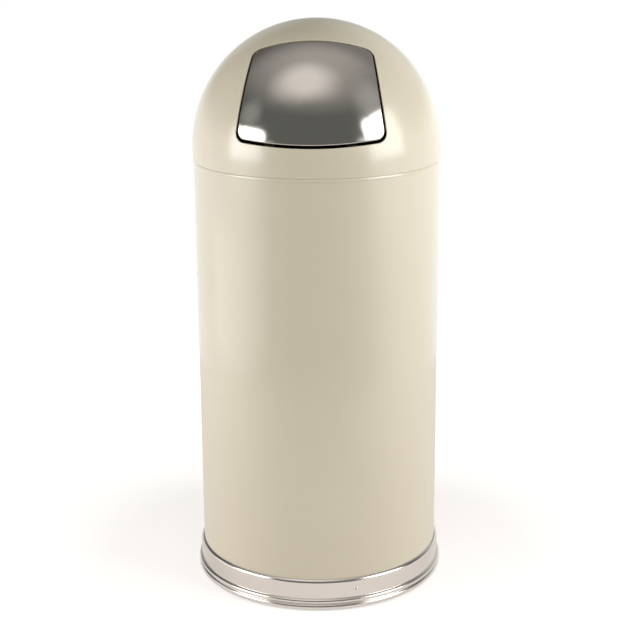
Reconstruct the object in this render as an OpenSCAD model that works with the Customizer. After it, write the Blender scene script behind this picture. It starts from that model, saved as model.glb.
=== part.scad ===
// Dome top waste receptacle: a steel cylinder with a lift-off dome, a self-closing push door
// and a lift-out liner. Millimetres, +Z up, origin on the floor at the centre, door towards -Y.

/* [Overall] */
// Height from the floor to the top of the dome
overall_h = 889; // [860:1:940]
// Outside diameter of the body shell
body_d = 381; // [372:1:396]
// Gap at rest between pieces that lift or swing apart
seat_gap = 0.3; // [0.2:0.05:0.5]
// Gap between curved pieces that are welded or riveted face to face
weld_gap = 0.1; // [0.05:0.05:0.2]
// Radial clearance of a pin in its bore
pin_fit = 0.06; // [0.03:0.01:0.09]

/* [Body shell] */
// Sheet thickness of the body shell
body_wall = 1.0; // [0.8:0.1:1.2]
// Length of the neck that stands up inside the dome, above the bead
neck_h = 17; // [14:0.5:22]
// Height of the swaged bead that the dome rests on
bead_h = 4.5; // [3.5:0.25:6]
// Outside radius of the hem rolled inwards at the top rim
rim_hem_r = 1.6; // [1.4:0.1:2]

/* [Bottom pan] */
// Height of the pan's upper face above the floor
pan_z = 17; // [14:0.5:24]
// Sheet thickness of the bottom pan
pan_wall = 1.0; // [0.8:0.1:1.4]
// Radius of the pan's pressed stiffening ring
pan_ring_r = 110; // [80:1:140]
// Width of the pan's pressed stiffening ring
pan_ring_w = 16; // [10:1:24]
// Depth of the pan's pressed stiffening ring
pan_ring_d = 4; // [2:0.5:6]
// Outside radius of the bend into the pan's turned-down flange
pan_bend_r = 3; // [2:0.25:4]

/* [Base ring] */
// Height of the base ring's upper edge above the floor
ring_h = 50.6; // [48:0.2:56]
// Sheet thickness of the base ring
ring_wall = 0.8; // [0.6:0.1:1]
// Distance of the flat band outside the body shell
band_offset = 4.5; // [4:0.1:5.5]
// Radius of the bevel rolled in at the top
bevel_r = 6.5; // [6:0.1:7.5]
// Radius of the rolled shoulder under the band
shoulder_r = 4.0; // [3.6:0.1:4.4]
// Height of the shoulder's centre above the floor
shoulder_z = 15.7; // [15.2:0.1:16.2]
// Radius of the rolled lip at the foot
lip_r = 4.9; // [4.6:0.1:5.1]
// Height of the lip's lowest point above the floor
lip_clear = 1.5; // [1:0.1:2]
// Number of rivets round the ring
rivet_count = 3; // [3:1:6]
// Height of the ring's rivets above the floor
rivet_z = 32.2; // [28:0.2:38]
// Turn of the first rivet from the door's side, towards +X
rivet_turn = 20.2; // [0:0.2:60]
// Radius of a rivet's head
rivet_head_r = 3; // [2.4:0.1:4]

/* [Foot gasket] */
// Height of the gasket channel
gasket_h = 9; // [8:0.5:11]
// Thickness of the gasket's legs and sole
gasket_wall = 2.6; // [2:0.1:3]

/* [Dome] */
// Sheet thickness of the dome
dome_wall = 1.0; // [0.8:0.1:1.2]
// Height of the straight skirt under the round part
skirt_h = 20.5; // [18:0.5:24]
// Depth of the lip returned inwards round the opening
lip_depth = 4; // [3:0.25:5]

/* [Door opening] */
// Elevation of the opening's middle, seen from the dome's centre
opening_tilt = 33.7; // [31:0.1:37]
// Straight distance from the sill to the head of the opening
opening_h = 172.4; // [162:0.2:178]
// Width of the opening half way up
opening_w = 201.4; // [186:0.2:206]
// Lean of each side of the opening
side_lean = 9.1; // [6:0.1:12]
// Radius of the sill's curve
sill_r = 262; // [240:1:320]
// Radius of the head's curve
head_r = 660; // [460:5:760]
// Corner radius of the opening
corner_r = 18; // [14:0.5:21]

/* [Push door] */
// Sheet thickness of the door panel
door_wall = 0.8; // [0.6:0.1:1]
// Depth of the hem returned inwards round the door
hem_depth = 8; // [6:0.25:9]
// Gap between the door and the sill
sill_gap = 4; // [3.4:0.1:4.6]
// Gap between the door and the sides of the opening
side_gap = 2.3; // [1.8:0.1:3]
// Gap between the door and the head of the opening
head_gap = 2; // [1.6:0.1:2.6]

/* [Door hinge] */
// Depth of the pivot behind the head of the opening
hinge_depth = 20; // [18:0.5:23]
// Distance of the pivot below the head of the opening
hinge_drop = 5; // [4:0.25:6]
// Radius of the pivot rod
rod_r = 2.5; // [2:0.1:3]
// Half length of the pivot rod
rod_half = 54; // [53:0.5:57]
// Distance of each door lug from the middle
lug_x = 45; // [42:0.5:47]
// Thickness of the lugs and brackets
stamping_t = 2; // [1.5:0.1:2.4]
// Radius of the eye of a lug or bracket
eye_r = 5.2; // [4.8:0.1:5.6]
// Width of the foot that welds a lug or bracket down
foot_w = 14; // [10:0.5:18]
// Thickness of the rod's clips
clip_t = 1.8; // [1.2:0.1:2.4]
// Radius of the rod's clips
clip_r = 4.6; // [4:0.1:5]

/* [Door spring] */
// Radius of the spring's wire
spring_wire_r = 0.8; // [0.6:0.05:1]
// Mean radius of the spring's coil
spring_r = 4.6; // [4.4:0.1:5]
// Clear gap between neighbouring coils
spring_gap = 0.6; // [0.5:0.05:1]
// Whole turns in the spring's coil
spring_turns = 9; // [6:1:12]

/* [Stop tabs] */
// Distance of each stop tab from the middle
tab_x = 60; // [50:0.5:66]
// Width of a stop tab
tab_w = 16; // [12:0.5:20]
// Thickness of a stop tab
tab_t = 1.2; // [1:0.1:1.6]
// Reach of a stop tab below the door
tab_reach = 18; // [16:0.5:20]
// Radius of a rubber bumper
bumper_r = 4.5; // [3.5:0.1:5]

/* [Liner] */
// Clear gap all round between the liner's wall and the body shell
liner_gap = 19.5; // [16.5:0.5:24]
// Depth of the liner's rim below the dome's lower edge
liner_drop = 26.7; // [24:0.1:100]
// Sheet thickness of the liner
liner_wall_t = 0.7; // [0.5:0.1:0.9]
// Outside radius of the rolled rim
liner_roll_r = 2.7; // [2.3:0.1:3]
// Height of the liner's upper swaged bead, down from the rim
liner_bead_drop = 150; // [120:1:200]
// Height of the liner's lower swaged bead above the floor
liner_bead_z = 90; // [60:1:140]
// Height of a swaged bead on the liner
liner_bead_h = 9; // [6:0.5:12]
// How far a swaged bead stands out of the liner
liner_bead_out = 2; // [1:0.25:3]
// Height of the liner's bottom above the wall's lower edge
liner_lift = 8; // [6:0.5:12]
// Depth of the flange turned down on the liner's bottom
liner_flange_h = 7; // [5:0.5:10]

/* [Liner ears and bail] */
// Depth of the bail's pivot below the rim
ear_drop = 18; // [16:0.5:24]
// Height of an ear
ear_h = 28; // [24:0.5:32]
// Width of an ear, as an angle round the liner
ear_angle = 16; // [12:0.5:20]
// Sheet thickness of an ear
ear_t = 1.2; // [1:0.1:1.5]
// Radius of an ear's boss
boss_r = 5.5; // [4.5:0.1:6.5]
// How far the boss stands out of the ear
boss_out = 2.4; // [2:0.1:3]
// Radius of an ear rivet's shank
ear_rivet_r = 1.6; // [1.2:0.1:2]
// Radius of the bail's wire
bail_wire_r = 2; // [1.8:0.1:2.2]
// Radius of the bail's bends at the ears
bail_bend_r = 3.6; // [3:0.1:5]
// Clearance between the bail and the rolled rim
bail_clear = 1.6; // [1.2:0.1:2]

/* [Hidden] */
$fn = 96;

// Colours as photographed
almond = [0.87, 0.83, 0.75];
stainless = [0.72, 0.71, 0.70];
galvanised = [0.66, 0.68, 0.69];
zinc = [0.75, 0.75, 0.72];
vinyl = [0.16, 0.16, 0.16];

arc_steps = 12;     // points along a rolled quarter or corner
small_steps = 6;    // points along a small bend
bead_steps = 8;     // points along the body's bead
edge_steps = 10;    // points along half the sill or half the head
roll_steps = 24;    // points along the liner's rolled rim
cut = 1;            // how far a cutter runs past what it cuts

// Body and dome
body_r = body_d / 2;
dome_r = body_r + seat_gap + dome_wall;
dome_z = overall_h - dome_r;
skirt_z = dome_z - skirt_h;
bead_out = dome_r - body_r;
bead_z = skirt_z - seat_gap - bead_h / 2;
rim_z = bead_z + bead_h / 2 + neck_h;
body_foot_z = gasket_wall;

// Base ring
band_r = body_r + band_offset;
cove_r = 1;
crease_r = ring_wall;
shoulder_c = [band_r, shoulder_z];
lip_c = [band_r - ring_wall, lip_clear + lip_r];
lip_end = -acos((body_r + gasket_wall + seat_gap - lip_c[0]) / lip_r);
rivet_hole_r = rivet_head_r / 2 + weld_gap;
rivet_ball_r = rivet_head_r * 1.6;   // radius of a head's dome
rivet_head_t = 1.2;
rivet_tail_t = 1.4;
bevel_a = acos((body_r + seat_gap - band_r + bevel_r) / (bevel_r - ring_wall));
bevel_c = [band_r - bevel_r, ring_h - bevel_r * sin(bevel_a)];

// Door
door_r = dome_r;
sill_c = sill_r - opening_h / 2;
head_c = opening_h / 2 - head_r;
opening_s = sqrt(pow(dome_r, 2) - pow(opening_h / 2, 2));
hinge_w = opening_h / 2 - hinge_drop;
hinge_s = opening_s - hinge_depth;
prism_s = opening_s * 0.55;    // where cutters start, well behind the door
foot_gap = 2;        // from the opening's lip to a bracket's foot
bracket_foot = 22;   // length of a bracket's foot
bracket_web = 16;    // depth of a bracket's plate at its far end, behind the pivot
lug_gap = 1.5;       // from the pivot to a lug's plate
lug_foot = 26;       // length of a lug's foot
lug_web = 14;        // how far a lug's plate is cut away in front of the pivot, at its far end
foot_t = stamping_t * 0.75;
eye_blend = 0.8;     // how far a plate meets its eye inside the eye's edge
lug_neck = [eye_r / 2, eye_r * 0.8];   // where a lug's plate leaves its eye, below and behind the pivot
clip_fit = 0.01;     // the clips grip the rod with hardly any clearance

// Liner
liner_r = body_r - body_wall - liner_gap;
liner_top = skirt_z - liner_drop;
liner_foot_z = pan_z + seat_gap;
roll_end = -120;     // direction in which the rolled rim ends, seen from the wire
roll_c = [liner_r - liner_wall_t + liner_roll_r, liner_top - liner_roll_r];
pivot_z = liner_top - ear_drop;
ear_r = liner_r + weld_gap;
boss_face_r = ear_r + ear_t + boss_out;
bottom_bend_r = 2.5;
liner_bead_flat = 1 / 3;   // share of a swaged bead's height that is flat
ear_below = 0.62;          // share of an ear's height that lies below the pivot
ear_rivet_drop = 0.32;     // share of an ear's height from the pivot down to its rivets
ear_rivet_turn = 0.36;     // share of an ear's angle from its middle to each rivet
ear_rivet_head_r = ear_rivet_r * 1.8;
ear_rivet_head_t = 1;
bail_r = roll_c[0] + liner_roll_r + bail_clear + bail_wire_r;
bail_reach = bail_r + bail_bend_r;
bail_hang = acos((liner_r + seat_gap) / (bail_reach - bail_wire_r));

// Points along an arc in a plane, from angle a0 to angle a1
function arc(c, r, a0, a1, n = arc_steps) =
    [for (i = [0:n]) c + r * [cos(a0 + (a1 - a0) * i / n), sin(a0 + (a1 - a0) * i / n)]];
function reversed(p) = [for (i = [len(p) - 1:-1:0]) p[i]];
function angle_of(v) = atan2(v[1], v[0]);
// Centre of a circle of radius rc that touches circles a and b from outside, to the right of a-b
function touching(a, ra, b, rb, rc) =
    let (d = norm(b - a), u = (b - a) / d, p = ra + rc, q = rb + rc, m = (d * d + p * p - q * q) / (2 * d))
    a + u * m + [-u[1], u[0]] * sqrt(p * p - m * m);

// ---- Body ----

// One face of the shell's profile, set in by t from the outer face
function shell_face(t) =
    let (half = (bead_h - t) / 2, r = (pow(half, 2) + pow(bead_out, 2)) / (2 * bead_out), a = acos(1 - bead_out / r))
    concat([[body_r - t, body_foot_z]],
           arc([body_r - t + bead_out - r, bead_z], r, -a, a, bead_steps),
           arc([body_r - rim_hem_r, rim_z - rim_hem_r], rim_hem_r - t, 0, 270));

module body_shell() {
    color(almond) difference() {
        rotate_extrude() polygon(concat(shell_face(0), reversed(shell_face(body_wall))));
        at_rivets() cylinder(r = rivet_hole_r, h = 2 * body_r);
    }
}

module bottom_pan() {
    outer_r = body_r - body_wall - weld_gap;
    flange_z = gasket_h + seat_gap;
    bend_c = [outer_r - pan_bend_r, pan_z - pan_bend_r];
    half = pan_ring_w / 2;
    top = [[0, pan_z], [pan_ring_r - half, pan_z],
        [pan_ring_r - half + pan_ring_d, pan_z - pan_ring_d],
        [pan_ring_r + half - pan_ring_d, pan_z - pan_ring_d], [pan_ring_r + half, pan_z]];
    color(zinc) rotate_extrude()
        polygon(concat(top, arc(bend_c, pan_bend_r, 90, 0, small_steps),
            [[outer_r, flange_z], [outer_r - pan_wall, flange_z]],
            arc(bend_c, pan_bend_r - pan_wall, 0, 90, small_steps),
            [for (i = [len(top) - 1:-1:0]) top[i] - [0, pan_wall]]));
}

// ---- Base ring ----

// One face of the ring's profile, set in by t from the outer face
function ring_face(t) =
    let (cove_c = [band_r + cove_r, shoulder_z + sqrt(pow(shoulder_r + cove_r, 2) - pow(cove_r, 2))],
         crease_c = touching(shoulder_c, shoulder_r, lip_c, lip_r, crease_r))
    concat(arc(bevel_c, bevel_r - t, bevel_a, 0),
           arc(cove_c, cove_r + t, 180, 360 + angle_of(shoulder_c - cove_c), small_steps),
           arc(shoulder_c, shoulder_r - t, angle_of(cove_c - shoulder_c), angle_of(crease_c - shoulder_c)),
           arc(crease_c, crease_r + t, angle_of(shoulder_c - crease_c), 360 + angle_of(lip_c - crease_c),
               small_steps),
           arc(lip_c, lip_r - t, angle_of(crease_c - lip_c), lip_end));

module at_rivets() {
    for (i = [0:rivet_count - 1])
        translate([0, 0, rivet_z]) rotate([0, 0, rivet_turn - 90 + i * 360 / rivet_count])
            rotate([0, 90, 0]) children();
}

module base_ring() {
    color(stainless) difference() {
        rotate_extrude() polygon(concat(ring_face(0), reversed(ring_face(ring_wall))));
        at_rivets() cylinder(r = rivet_hole_r, h = 2 * body_r);
    }
}

// Rivets with a domed head on the ring, a collar between ring and shell, and a tail inside the shell
module base_ring_rivets() {
    inner_r = body_r - body_wall - weld_gap;
    color(stainless) at_rivets() {
        translate([0, 0, inner_r - rivet_tail_t])
            cylinder(r = rivet_head_r / 2, h = band_r - inner_r + rivet_tail_t + rivet_head_t / 2);
        translate([0, 0, inner_r - rivet_tail_t]) cylinder(r = rivet_head_r, h = rivet_tail_t);
        translate([0, 0, body_r + weld_gap]) cylinder(r = rivet_head_r, h = band_offset - ring_wall - 2 * weld_gap);
        translate([0, 0, band_r + weld_gap]) intersection() {
            cylinder(r = rivet_head_r, h = rivet_head_t);
            translate([0, 0, rivet_head_t - rivet_ball_r]) sphere(r = rivet_ball_r);
        }
    }
}

module foot_gasket() {
    inner = body_r - body_wall - gasket_wall;
    color(vinyl) rotate_extrude() difference() {
        translate([inner, 0]) square([body_wall + 2 * gasket_wall, gasket_h]);
        translate([body_r - body_wall - weld_gap / 2, gasket_wall])
            square([body_wall + weld_gap, gasket_h]);
    }
}

// ---- Dome ----

// Stands the door's frame at the dome's centre: X across, Y up the opening, Z out through it
module door_frame() {
    translate([0, 0, dome_z]) rotate([90 - opening_tilt, 0, 0]) children();
}

// Right half of the opening's outline, drawn in by the given gaps
function half_outline(sill, side, head) =
    let (b = side_lean, n = [cos(b), sin(b)], tau = [-sin(b), cos(b)],
         rc = corner_r - side, k = opening_w / 2 * cos(b) - side - rc,
         c0 = [0, sill_c], c1 = [0, head_c], r0 = sill_r - sill, r1 = head_r - head,
         p0 = n * k + tau * (tau * c0 - sqrt(pow(r0 - rc, 2) - pow(k - n * c0, 2))),
         p1 = n * k + tau * (tau * c1 + sqrt(pow(r1 - rc, 2) - pow(k - n * c1, 2))),
         a0 = angle_of(p0 - c0), a1 = angle_of(p1 - c1))
    concat(arc(c0, r0, -90, a0, edge_steps), arc(p0, rc, a0, b, small_steps),
           arc(p1, rc, b, a1, small_steps), arc(c1, r1, a1, 90, edge_steps));

function outline(sill, side, head) =
    let (h = half_outline(sill, side, head))
    concat([for (i = [0:len(h) - 1]) h[i]], [for (i = [len(h) - 2:-1:1]) [-h[i][0], h[i][1]]]);

// Prism on an outline, from well inside the dome to just outside it, run over by the given length
module prism(sill, side, head, over = 0) {
    translate([0, 0, prism_s - over]) linear_extrude(dome_r - prism_s + cut + 2 * over)
        polygon(outline(sill, side, head));
}

// The band between an outline and the same outline set further in by t
module prism_band(sill, side, head, t) {
    difference() {
        prism(sill, side, head);
        prism(sill + t, side + t, head + t, cut);
    }
}

// Solid dome of radius r: a half ball over a straight cylinder that reaches down to z
module dome_form(r, z) {
    translate([0, 0, dome_z]) rotate_extrude() union() {
        intersection() {
            circle(r = r);
            square([r + cut, r + cut]);
        }
        translate([0, z - dome_z]) square([r, dome_z - z]);
    }
}

module dome_shell() {
    color(almond) difference() {
        dome_form(dome_r, skirt_z);
        difference() {
            dome_form(dome_r - dome_wall, skirt_z - cut);
            door_frame() prism_band(-dome_wall, -dome_wall, -dome_wall, dome_wall);
        }
        translate([0, 0, dome_z]) sphere(r = dome_r - lip_depth);
        door_frame() prism(0, 0, 0, cut);
    }
}

// A plate in the hinge's own plane, from x0 to x0 + t, with the outline drawn as [up, out]
module side_plate(x0, t) {
    translate([x0, 0, 0]) rotate([90, 0, 90]) linear_extrude(t) children();
}

module eye_bore() {
    translate([-rod_half - cut, hinge_w, hinge_s]) rotate([0, 90, 0])
        cylinder(r = rod_r + pin_fit, h = 2 * rod_half + 2 * cut);
}

// Ear inside the dome above the opening, on the +X side, with its foot on the dome
module hinge_bracket() {
    x0 = lug_x + stamping_t / 2 + seat_gap;
    seat_r = dome_r - dome_wall - weld_gap;
    w0 = opening_h / 2 + dome_wall + foot_gap;
    w1 = w0 + bracket_foot;
    color(zinc) door_frame() difference() {
        union() {
            intersection() {
                side_plate(x0, stamping_t) union() {
                    translate([hinge_w, hinge_s]) circle(r = eye_r);
                    polygon([[hinge_w, hinge_s - eye_r + eye_blend], [w1, hinge_s - bracket_web], [w1, dome_r],
                        [w0, dome_r], [w0, hinge_s + eye_r], [hinge_w, hinge_s + eye_r - eye_blend]]);
                }
                sphere(r = seat_r);
            }
            foot(x0, w0, w1, seat_r);
        }
        eye_bore();
    }
}

// Foot of a lug or bracket, bent to the inside of a ball of radius seat_r, from x0 towards +X
module foot(x0, w0, w1, seat_r) {
    difference() {
        intersection() {
            translate([x0, w0, prism_s]) cube([foot_w, w1 - w0, dome_r]);
            sphere(r = seat_r);
        }
        sphere(r = seat_r - foot_t);
    }
}

module hinge_bracket_right() hinge_bracket();
module hinge_bracket_left() mirror([1, 0, 0]) hinge_bracket();

module hinge_rod() {
    color(zinc) door_frame() translate([-rod_half, hinge_w, hinge_s]) rotate([0, 90, 0])
        cylinder(r = rod_r, h = 2 * rod_half);
}

module rod_clips() {
    x0 = lug_x + 1.5 * stamping_t + 2 * seat_gap;
    color(zinc) door_frame() for (side = [-1, 1])
        translate([side * (x0 + clip_t / 2), hinge_w, hinge_s]) rotate([0, 90, 0]) difference() {
            cylinder(r = clip_r, h = clip_t, center = true);
            cylinder(r = rod_r + clip_fit, h = clip_t + cut, center = true);
        }
}

// ---- Torsion spring: one unbroken wire, leg, coil, leg ----

spring_pitch = 2 * spring_wire_r + spring_gap;
spring_leg = 28;            // reach of each leg, down the door and up the dome
door_leg_w = hinge_w - spring_leg;
dome_leg_w = hinge_w + spring_leg;
function ball_s(r, x, w) = sqrt(r * r - x * x - w * w);
coil_half = spring_pitch * (spring_turns + 0.5) / 2;
door_leg = [door_leg_w, ball_s(door_r - door_wall - seat_gap - spring_wire_r, coil_half, door_leg_w)];
dome_leg = [dome_leg_w, ball_s(dome_r - dome_wall - seat_gap - spring_wire_r, coil_half, dome_leg_w)];
hinge_p = [hinge_w, hinge_s];
function leg_length(p) = sqrt(pow(norm(p - hinge_p), 2) - pow(spring_r, 2));
coil_start = angle_of(door_leg - hinge_p) + atan2(leg_length(door_leg), spring_r);
coil_end_raw = angle_of(dome_leg - hinge_p) - atan2(leg_length(dome_leg), spring_r);
coil_sweep = 360 * spring_turns + (coil_end_raw - coil_start) + (coil_end_raw < coil_start ? 360 : 0);
coil_step = 45;             // turn from one ring of the wire's mesh to the next
coil_rings = ceil(coil_sweep / coil_step);
function coil_point(i) =
    let (a = coil_start + coil_sweep * i / coil_rings)
    [-coil_half + 2 * coil_half * i / coil_rings, hinge_w + spring_r * cos(a), hinge_s + spring_r * sin(a)];
function toward(p, q, d) = p + (q - p) * d / norm(q - p);
tip_a = [-coil_half, door_leg[0], door_leg[1]];
tip_b = [coil_half, dome_leg[0], dome_leg[1]];
spring_path = concat([tip_a, toward(tip_a, coil_point(0), 2 * spring_wire_r)],
    [for (i = [0:coil_rings]) coil_point(i)],
    [toward(tip_b, coil_point(coil_rings), 2 * spring_wire_r), tip_b]);

// Tube of round section along a path, its rings turned with the path
function unit(v) = v / norm(v);
function path_dir(p, i) = unit(p[min(i + 1, len(p) - 1)] - p[max(i - 1, 0)]);
function path_normals(p, i = 0, n = [1, 0, 0]) =
    i == len(p) ? [] :
    let (d = path_dir(p, i), m = unit(n - d * (n * d)))
    concat([m], path_normals(p, i + 1, m));
module tube(p, r, sides) {
    normals = path_normals(p);
    last = len(p) - 1;
    points = [for (i = [0:last], k = [0:sides - 1])
        let (d = path_dir(p, i), n = normals[i], a = 360 * k / sides)
        p[i] + r * (n * cos(a) + cross(d, n) * sin(a))];
    faces = concat(
        [for (i = [0:last - 1], k = [0:sides - 1], half = [0, 1])
            let (a = i * sides + k, b = i * sides + (k + 1) % sides)
            half == 0 ? [a, b, b + sides] : [a, b + sides, a + sides]],
        [for (k = [1:sides - 2]) [0, k + 1, k]],
        [for (k = [1:sides - 2]) [last * sides, last * sides + k, last * sides + k + 1]]);
    polyhedron(points = points, faces = [for (f = faces) reversed(f)]);
}

module door_spring() {
    color(zinc) door_frame() tube(spring_path, spring_wire_r, 6);
}

// ---- Door ----

module push_door() {
    color(stainless) door_frame() difference() {
        intersection() {
            sphere(r = door_r);
            prism(sill_gap, side_gap, head_gap);
        }
        difference() {
            sphere(r = door_r - door_wall);
            prism_band(sill_gap, side_gap, head_gap, door_wall);
        }
        sphere(r = door_r - hem_depth);
    }
}

// Lug inside the door on the +X side, with its foot on the panel
module door_lug() {
    x0 = lug_x - stamping_t / 2;
    seat_r = door_r - door_wall - weld_gap;
    w1 = hinge_w - lug_gap;
    w0 = w1 - lug_foot;
    color(zinc) door_frame() difference() {
        union() {
            intersection() {
                side_plate(x0, stamping_t) union() {
                    translate([hinge_w, hinge_s]) circle(r = eye_r);
                    polygon([[hinge_w, hinge_s] - lug_neck, [w0, hinge_s + lug_web], [w0, dome_r],
                        [w1, dome_r], [w1, hinge_s + eye_r - eye_blend]]);
                }
                sphere(r = seat_r);
            }
            foot(x0 + stamping_t - foot_w, w0, w1 - 2 * lug_gap, seat_r);
        }
        eye_bore();
    }
}

module door_lug_right() door_lug();
module door_lug_left() mirror([1, 0, 0]) door_lug();

// Door's lower edge and the tab's place on it
door_foot_w = sill_c - (sill_r - sill_gap);
tab_turn = asin(tab_x / (sill_r - sill_gap));
tab_bow = pow(tab_w, 2) / (8 * (sill_r - sill_gap));   // rise of the hem's curve across the flat tab
tab_top_w = door_foot_w + door_wall + tab_bow + 2 * weld_gap + tab_t;
tab_foot_w = door_foot_w - tab_reach;
tab_lap = 0.7;              // share of the hem's depth that a tab laps
bumper_edge = 1.5;          // from a bumper to the tab's foot
bumper_w = tab_foot_w + bumper_r + bumper_edge;
bumper_tip_r = bumper_r * 0.7;
stem_r = 2;
stem_head_r = 2.6;
stem_head_t = 2;

// Where a point drawn at the middle of the sill lies once it is put on the +X side
function sill_point(x, w) =
    [x * cos(tab_turn) - (w - sill_c) * sin(tab_turn), sill_c + x * sin(tab_turn) + (w - sill_c) * cos(tab_turn)];
hem_foot = sill_point(0, door_foot_w);
hem_tip_s = ball_s(door_r - hem_depth, hem_foot[0], hem_foot[1]);
// The tab stands just clear of the dome's wall at its lower outer corner
tab_corner = sill_point(tab_w / 2, tab_foot_w);
tab_s = ball_s(dome_r - dome_wall, tab_corner[0], tab_corner[1]) - 2 * seat_gap - tab_t;
tab_leg_s = hem_tip_s + hem_depth * tab_lap;

// Puts a piece drawn at the middle of the sill on the sill's curve, on one side
module on_sill(side) {
    translate([0, sill_c, 0]) rotate([0, 0, side * tab_turn]) translate([0, -sill_c, 0]) children();
}

// Tab on the hem that turns down behind the sill
module stop_tab(side) {
    color(zinc) door_frame() on_sill(side) difference() {
        side_plate(-tab_w / 2, tab_w)
            polygon([[tab_top_w, tab_s], [tab_top_w, tab_leg_s], [tab_top_w - tab_t, tab_leg_s],
                [tab_top_w - tab_t, tab_s + tab_t], [tab_foot_w, tab_s + tab_t], [tab_foot_w, tab_s]]);
        translate([0, bumper_w, tab_s - cut]) cylinder(r = stem_r + pin_fit, h = tab_t + 2 * cut);
    }
}

module stop_tab_right() stop_tab(1);
module stop_tab_left() stop_tab(-1);

// Furthest that a flat bumper reaches out before it meets the dome's wall
bumper_tip_s = min([for (a = [0:30:330])
    let (p = sill_point(bumper_tip_r * cos(a), bumper_w + bumper_tip_r * sin(a)))
    ball_s(dome_r - dome_wall, p[0], p[1])]) - seat_gap;

// Rubber bumpers pressed through the tabs, almost touching the dome's wall
module door_bumpers() {
    color(vinyl) door_frame() for (side = [-1, 1]) on_sill(side) translate([0, bumper_w, 0]) {
        translate([0, 0, tab_s + tab_t]) cylinder(r1 = bumper_r, r2 = bumper_tip_r, h = bumper_tip_s - tab_s - tab_t);
        translate([0, 0, tab_s - stem_head_t]) cylinder(r = stem_r, h = tab_t + 2 * stem_head_t);
        translate([0, 0, tab_s - stem_head_t]) cylinder(r = stem_head_r, h = stem_head_t);
    }
}

// ---- Liner ----

// One face of the liner's wall, set in by t from the outer face
function liner_face(t) =
    let (out = liner_bead_out, half = liner_bead_h / 2, flat = half * liner_bead_flat)
    concat([[liner_r - t, liner_foot_z]],
        [for (z = [liner_bead_z, liner_top - liner_bead_drop],
              p = [[0, -half], [out, -flat], [out, flat], [0, half]])
            [liner_r - t + p[0], z + p[1]]]);

// The wall, its top edge rolled outwards round the rim wire
module liner_wall() {
    color(galvanised) difference() {
        rotate_extrude() polygon(concat(reversed(liner_face(liner_wall_t)), liner_face(0),
            arc(roll_c, liner_roll_r - liner_wall_t, 180, roll_end, roll_steps),
            arc(roll_c, liner_roll_r, roll_end, 180, roll_steps)));
        at_ear_rivets() cylinder(r = ear_rivet_r + pin_fit, h = liner_r);
    }
}

module rim_wire() {
    color(zinc) rotate_extrude() translate(roll_c) circle(r = liner_roll_r - liner_wall_t - weld_gap);
}

module liner_bottom() {
    outer_r = liner_r - liner_wall_t - weld_gap;
    top_z = liner_foot_z + liner_lift;
    bend_c = [outer_r - bottom_bend_r, top_z - bottom_bend_r];
    color(galvanised) rotate_extrude()
        polygon(concat([[0, top_z]], arc(bend_c, bottom_bend_r, 90, 0, small_steps),
            [[outer_r, top_z - liner_flange_h], [outer_r - liner_wall_t, top_z - liner_flange_h]],
            arc(bend_c, bottom_bend_r - liner_wall_t, 0, 90, small_steps), [[0, top_z - liner_wall_t]]));
}

// Places of the rivets, two to an ear, drawn outwards along +Z from the liner's axis
module at_ear_rivets() {
    for (side = [0, 180], turn = [-ear_rivet_turn, ear_rivet_turn])
        translate([0, 0, pivot_z - ear_h * ear_rivet_drop]) rotate([0, 0, side + turn * ear_angle])
            rotate([0, 90, 0]) children();
}

module liner_ear() {
    color(galvanised) difference() {
        union() {
            translate([0, 0, pivot_z - ear_h * ear_below]) rotate([0, 0, -ear_angle / 2])
                rotate_extrude(angle = ear_angle) translate([ear_r, 0]) square([ear_t, ear_h]);
            translate([ear_r + ear_t / 2, 0, pivot_z]) rotate([0, 90, 0])
                cylinder(r = boss_r, h = boss_face_r - ear_r - ear_t / 2);
        }
        translate([0, 0, pivot_z]) rotate([0, 90, 0]) cylinder(r = bail_wire_r + pin_fit, h = 2 * liner_r);
        at_ear_rivets() cylinder(r = ear_rivet_r + pin_fit, h = 2 * liner_r);
    }
}

module liner_ear_right() liner_ear();
module liner_ear_left() rotate([0, 0, 180]) liner_ear();

module ear_rivets() {
    inner = liner_r - liner_wall_t - seat_gap;
    outer = ear_r + ear_t + seat_gap;
    color(zinc) at_ear_rivets() {
        translate([0, 0, inner - ear_rivet_head_t])
            cylinder(r = ear_rivet_r, h = outer - inner + 2 * ear_rivet_head_t);
        translate([0, 0, inner - ear_rivet_head_t]) cylinder(r = ear_rivet_head_r, h = ear_rivet_head_t);
        translate([0, 0, outer]) cylinder(r = ear_rivet_head_r, h = ear_rivet_head_t);
    }
}

// ---- Bail: a half round of wire, bent in at both ends into the ears ----

module bail_handle() {
    pin_in = ear_r + ear_t / 2;
    elbow_x = bail_r - bail_bend_r;
    color(zinc) translate([0, 0, pivot_z]) rotate([-bail_hang, 0, 0]) {
        translate([0, bail_bend_r, 0]) rotate_extrude(angle = 180)
            translate([bail_r, 0]) circle(r = bail_wire_r);
        for (side = [0, 1]) mirror([side, 0, 0]) {
            translate([elbow_x, bail_bend_r, 0]) rotate([0, 0, -90])
                rotate_extrude(angle = 90) translate([bail_bend_r, 0]) circle(r = bail_wire_r);
            translate([pin_in, 0, 0]) rotate([0, 90, 0]) cylinder(r = bail_wire_r, h = elbow_x - pin_in);
        }
    }
}

body_shell();
bottom_pan();
base_ring();
base_ring_rivets();
foot_gasket();
dome_shell();
hinge_bracket_left();
hinge_bracket_right();
hinge_rod();
rod_clips();
door_spring();
push_door();
door_lug_left();
door_lug_right();
stop_tab_left();
stop_tab_right();
door_bumpers();
liner_wall();
rim_wire();
liner_bottom();
liner_ear_left();
liner_ear_right();
ear_rivets();
bail_handle();
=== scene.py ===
"""Dome top waste receptacle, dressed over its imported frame: enamelled body and dome, polished push
door, bright base ring, galvanised liner with a wire bail. Sizes are metres in the frame's own axes."""

import math
from types import SimpleNamespace

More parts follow.
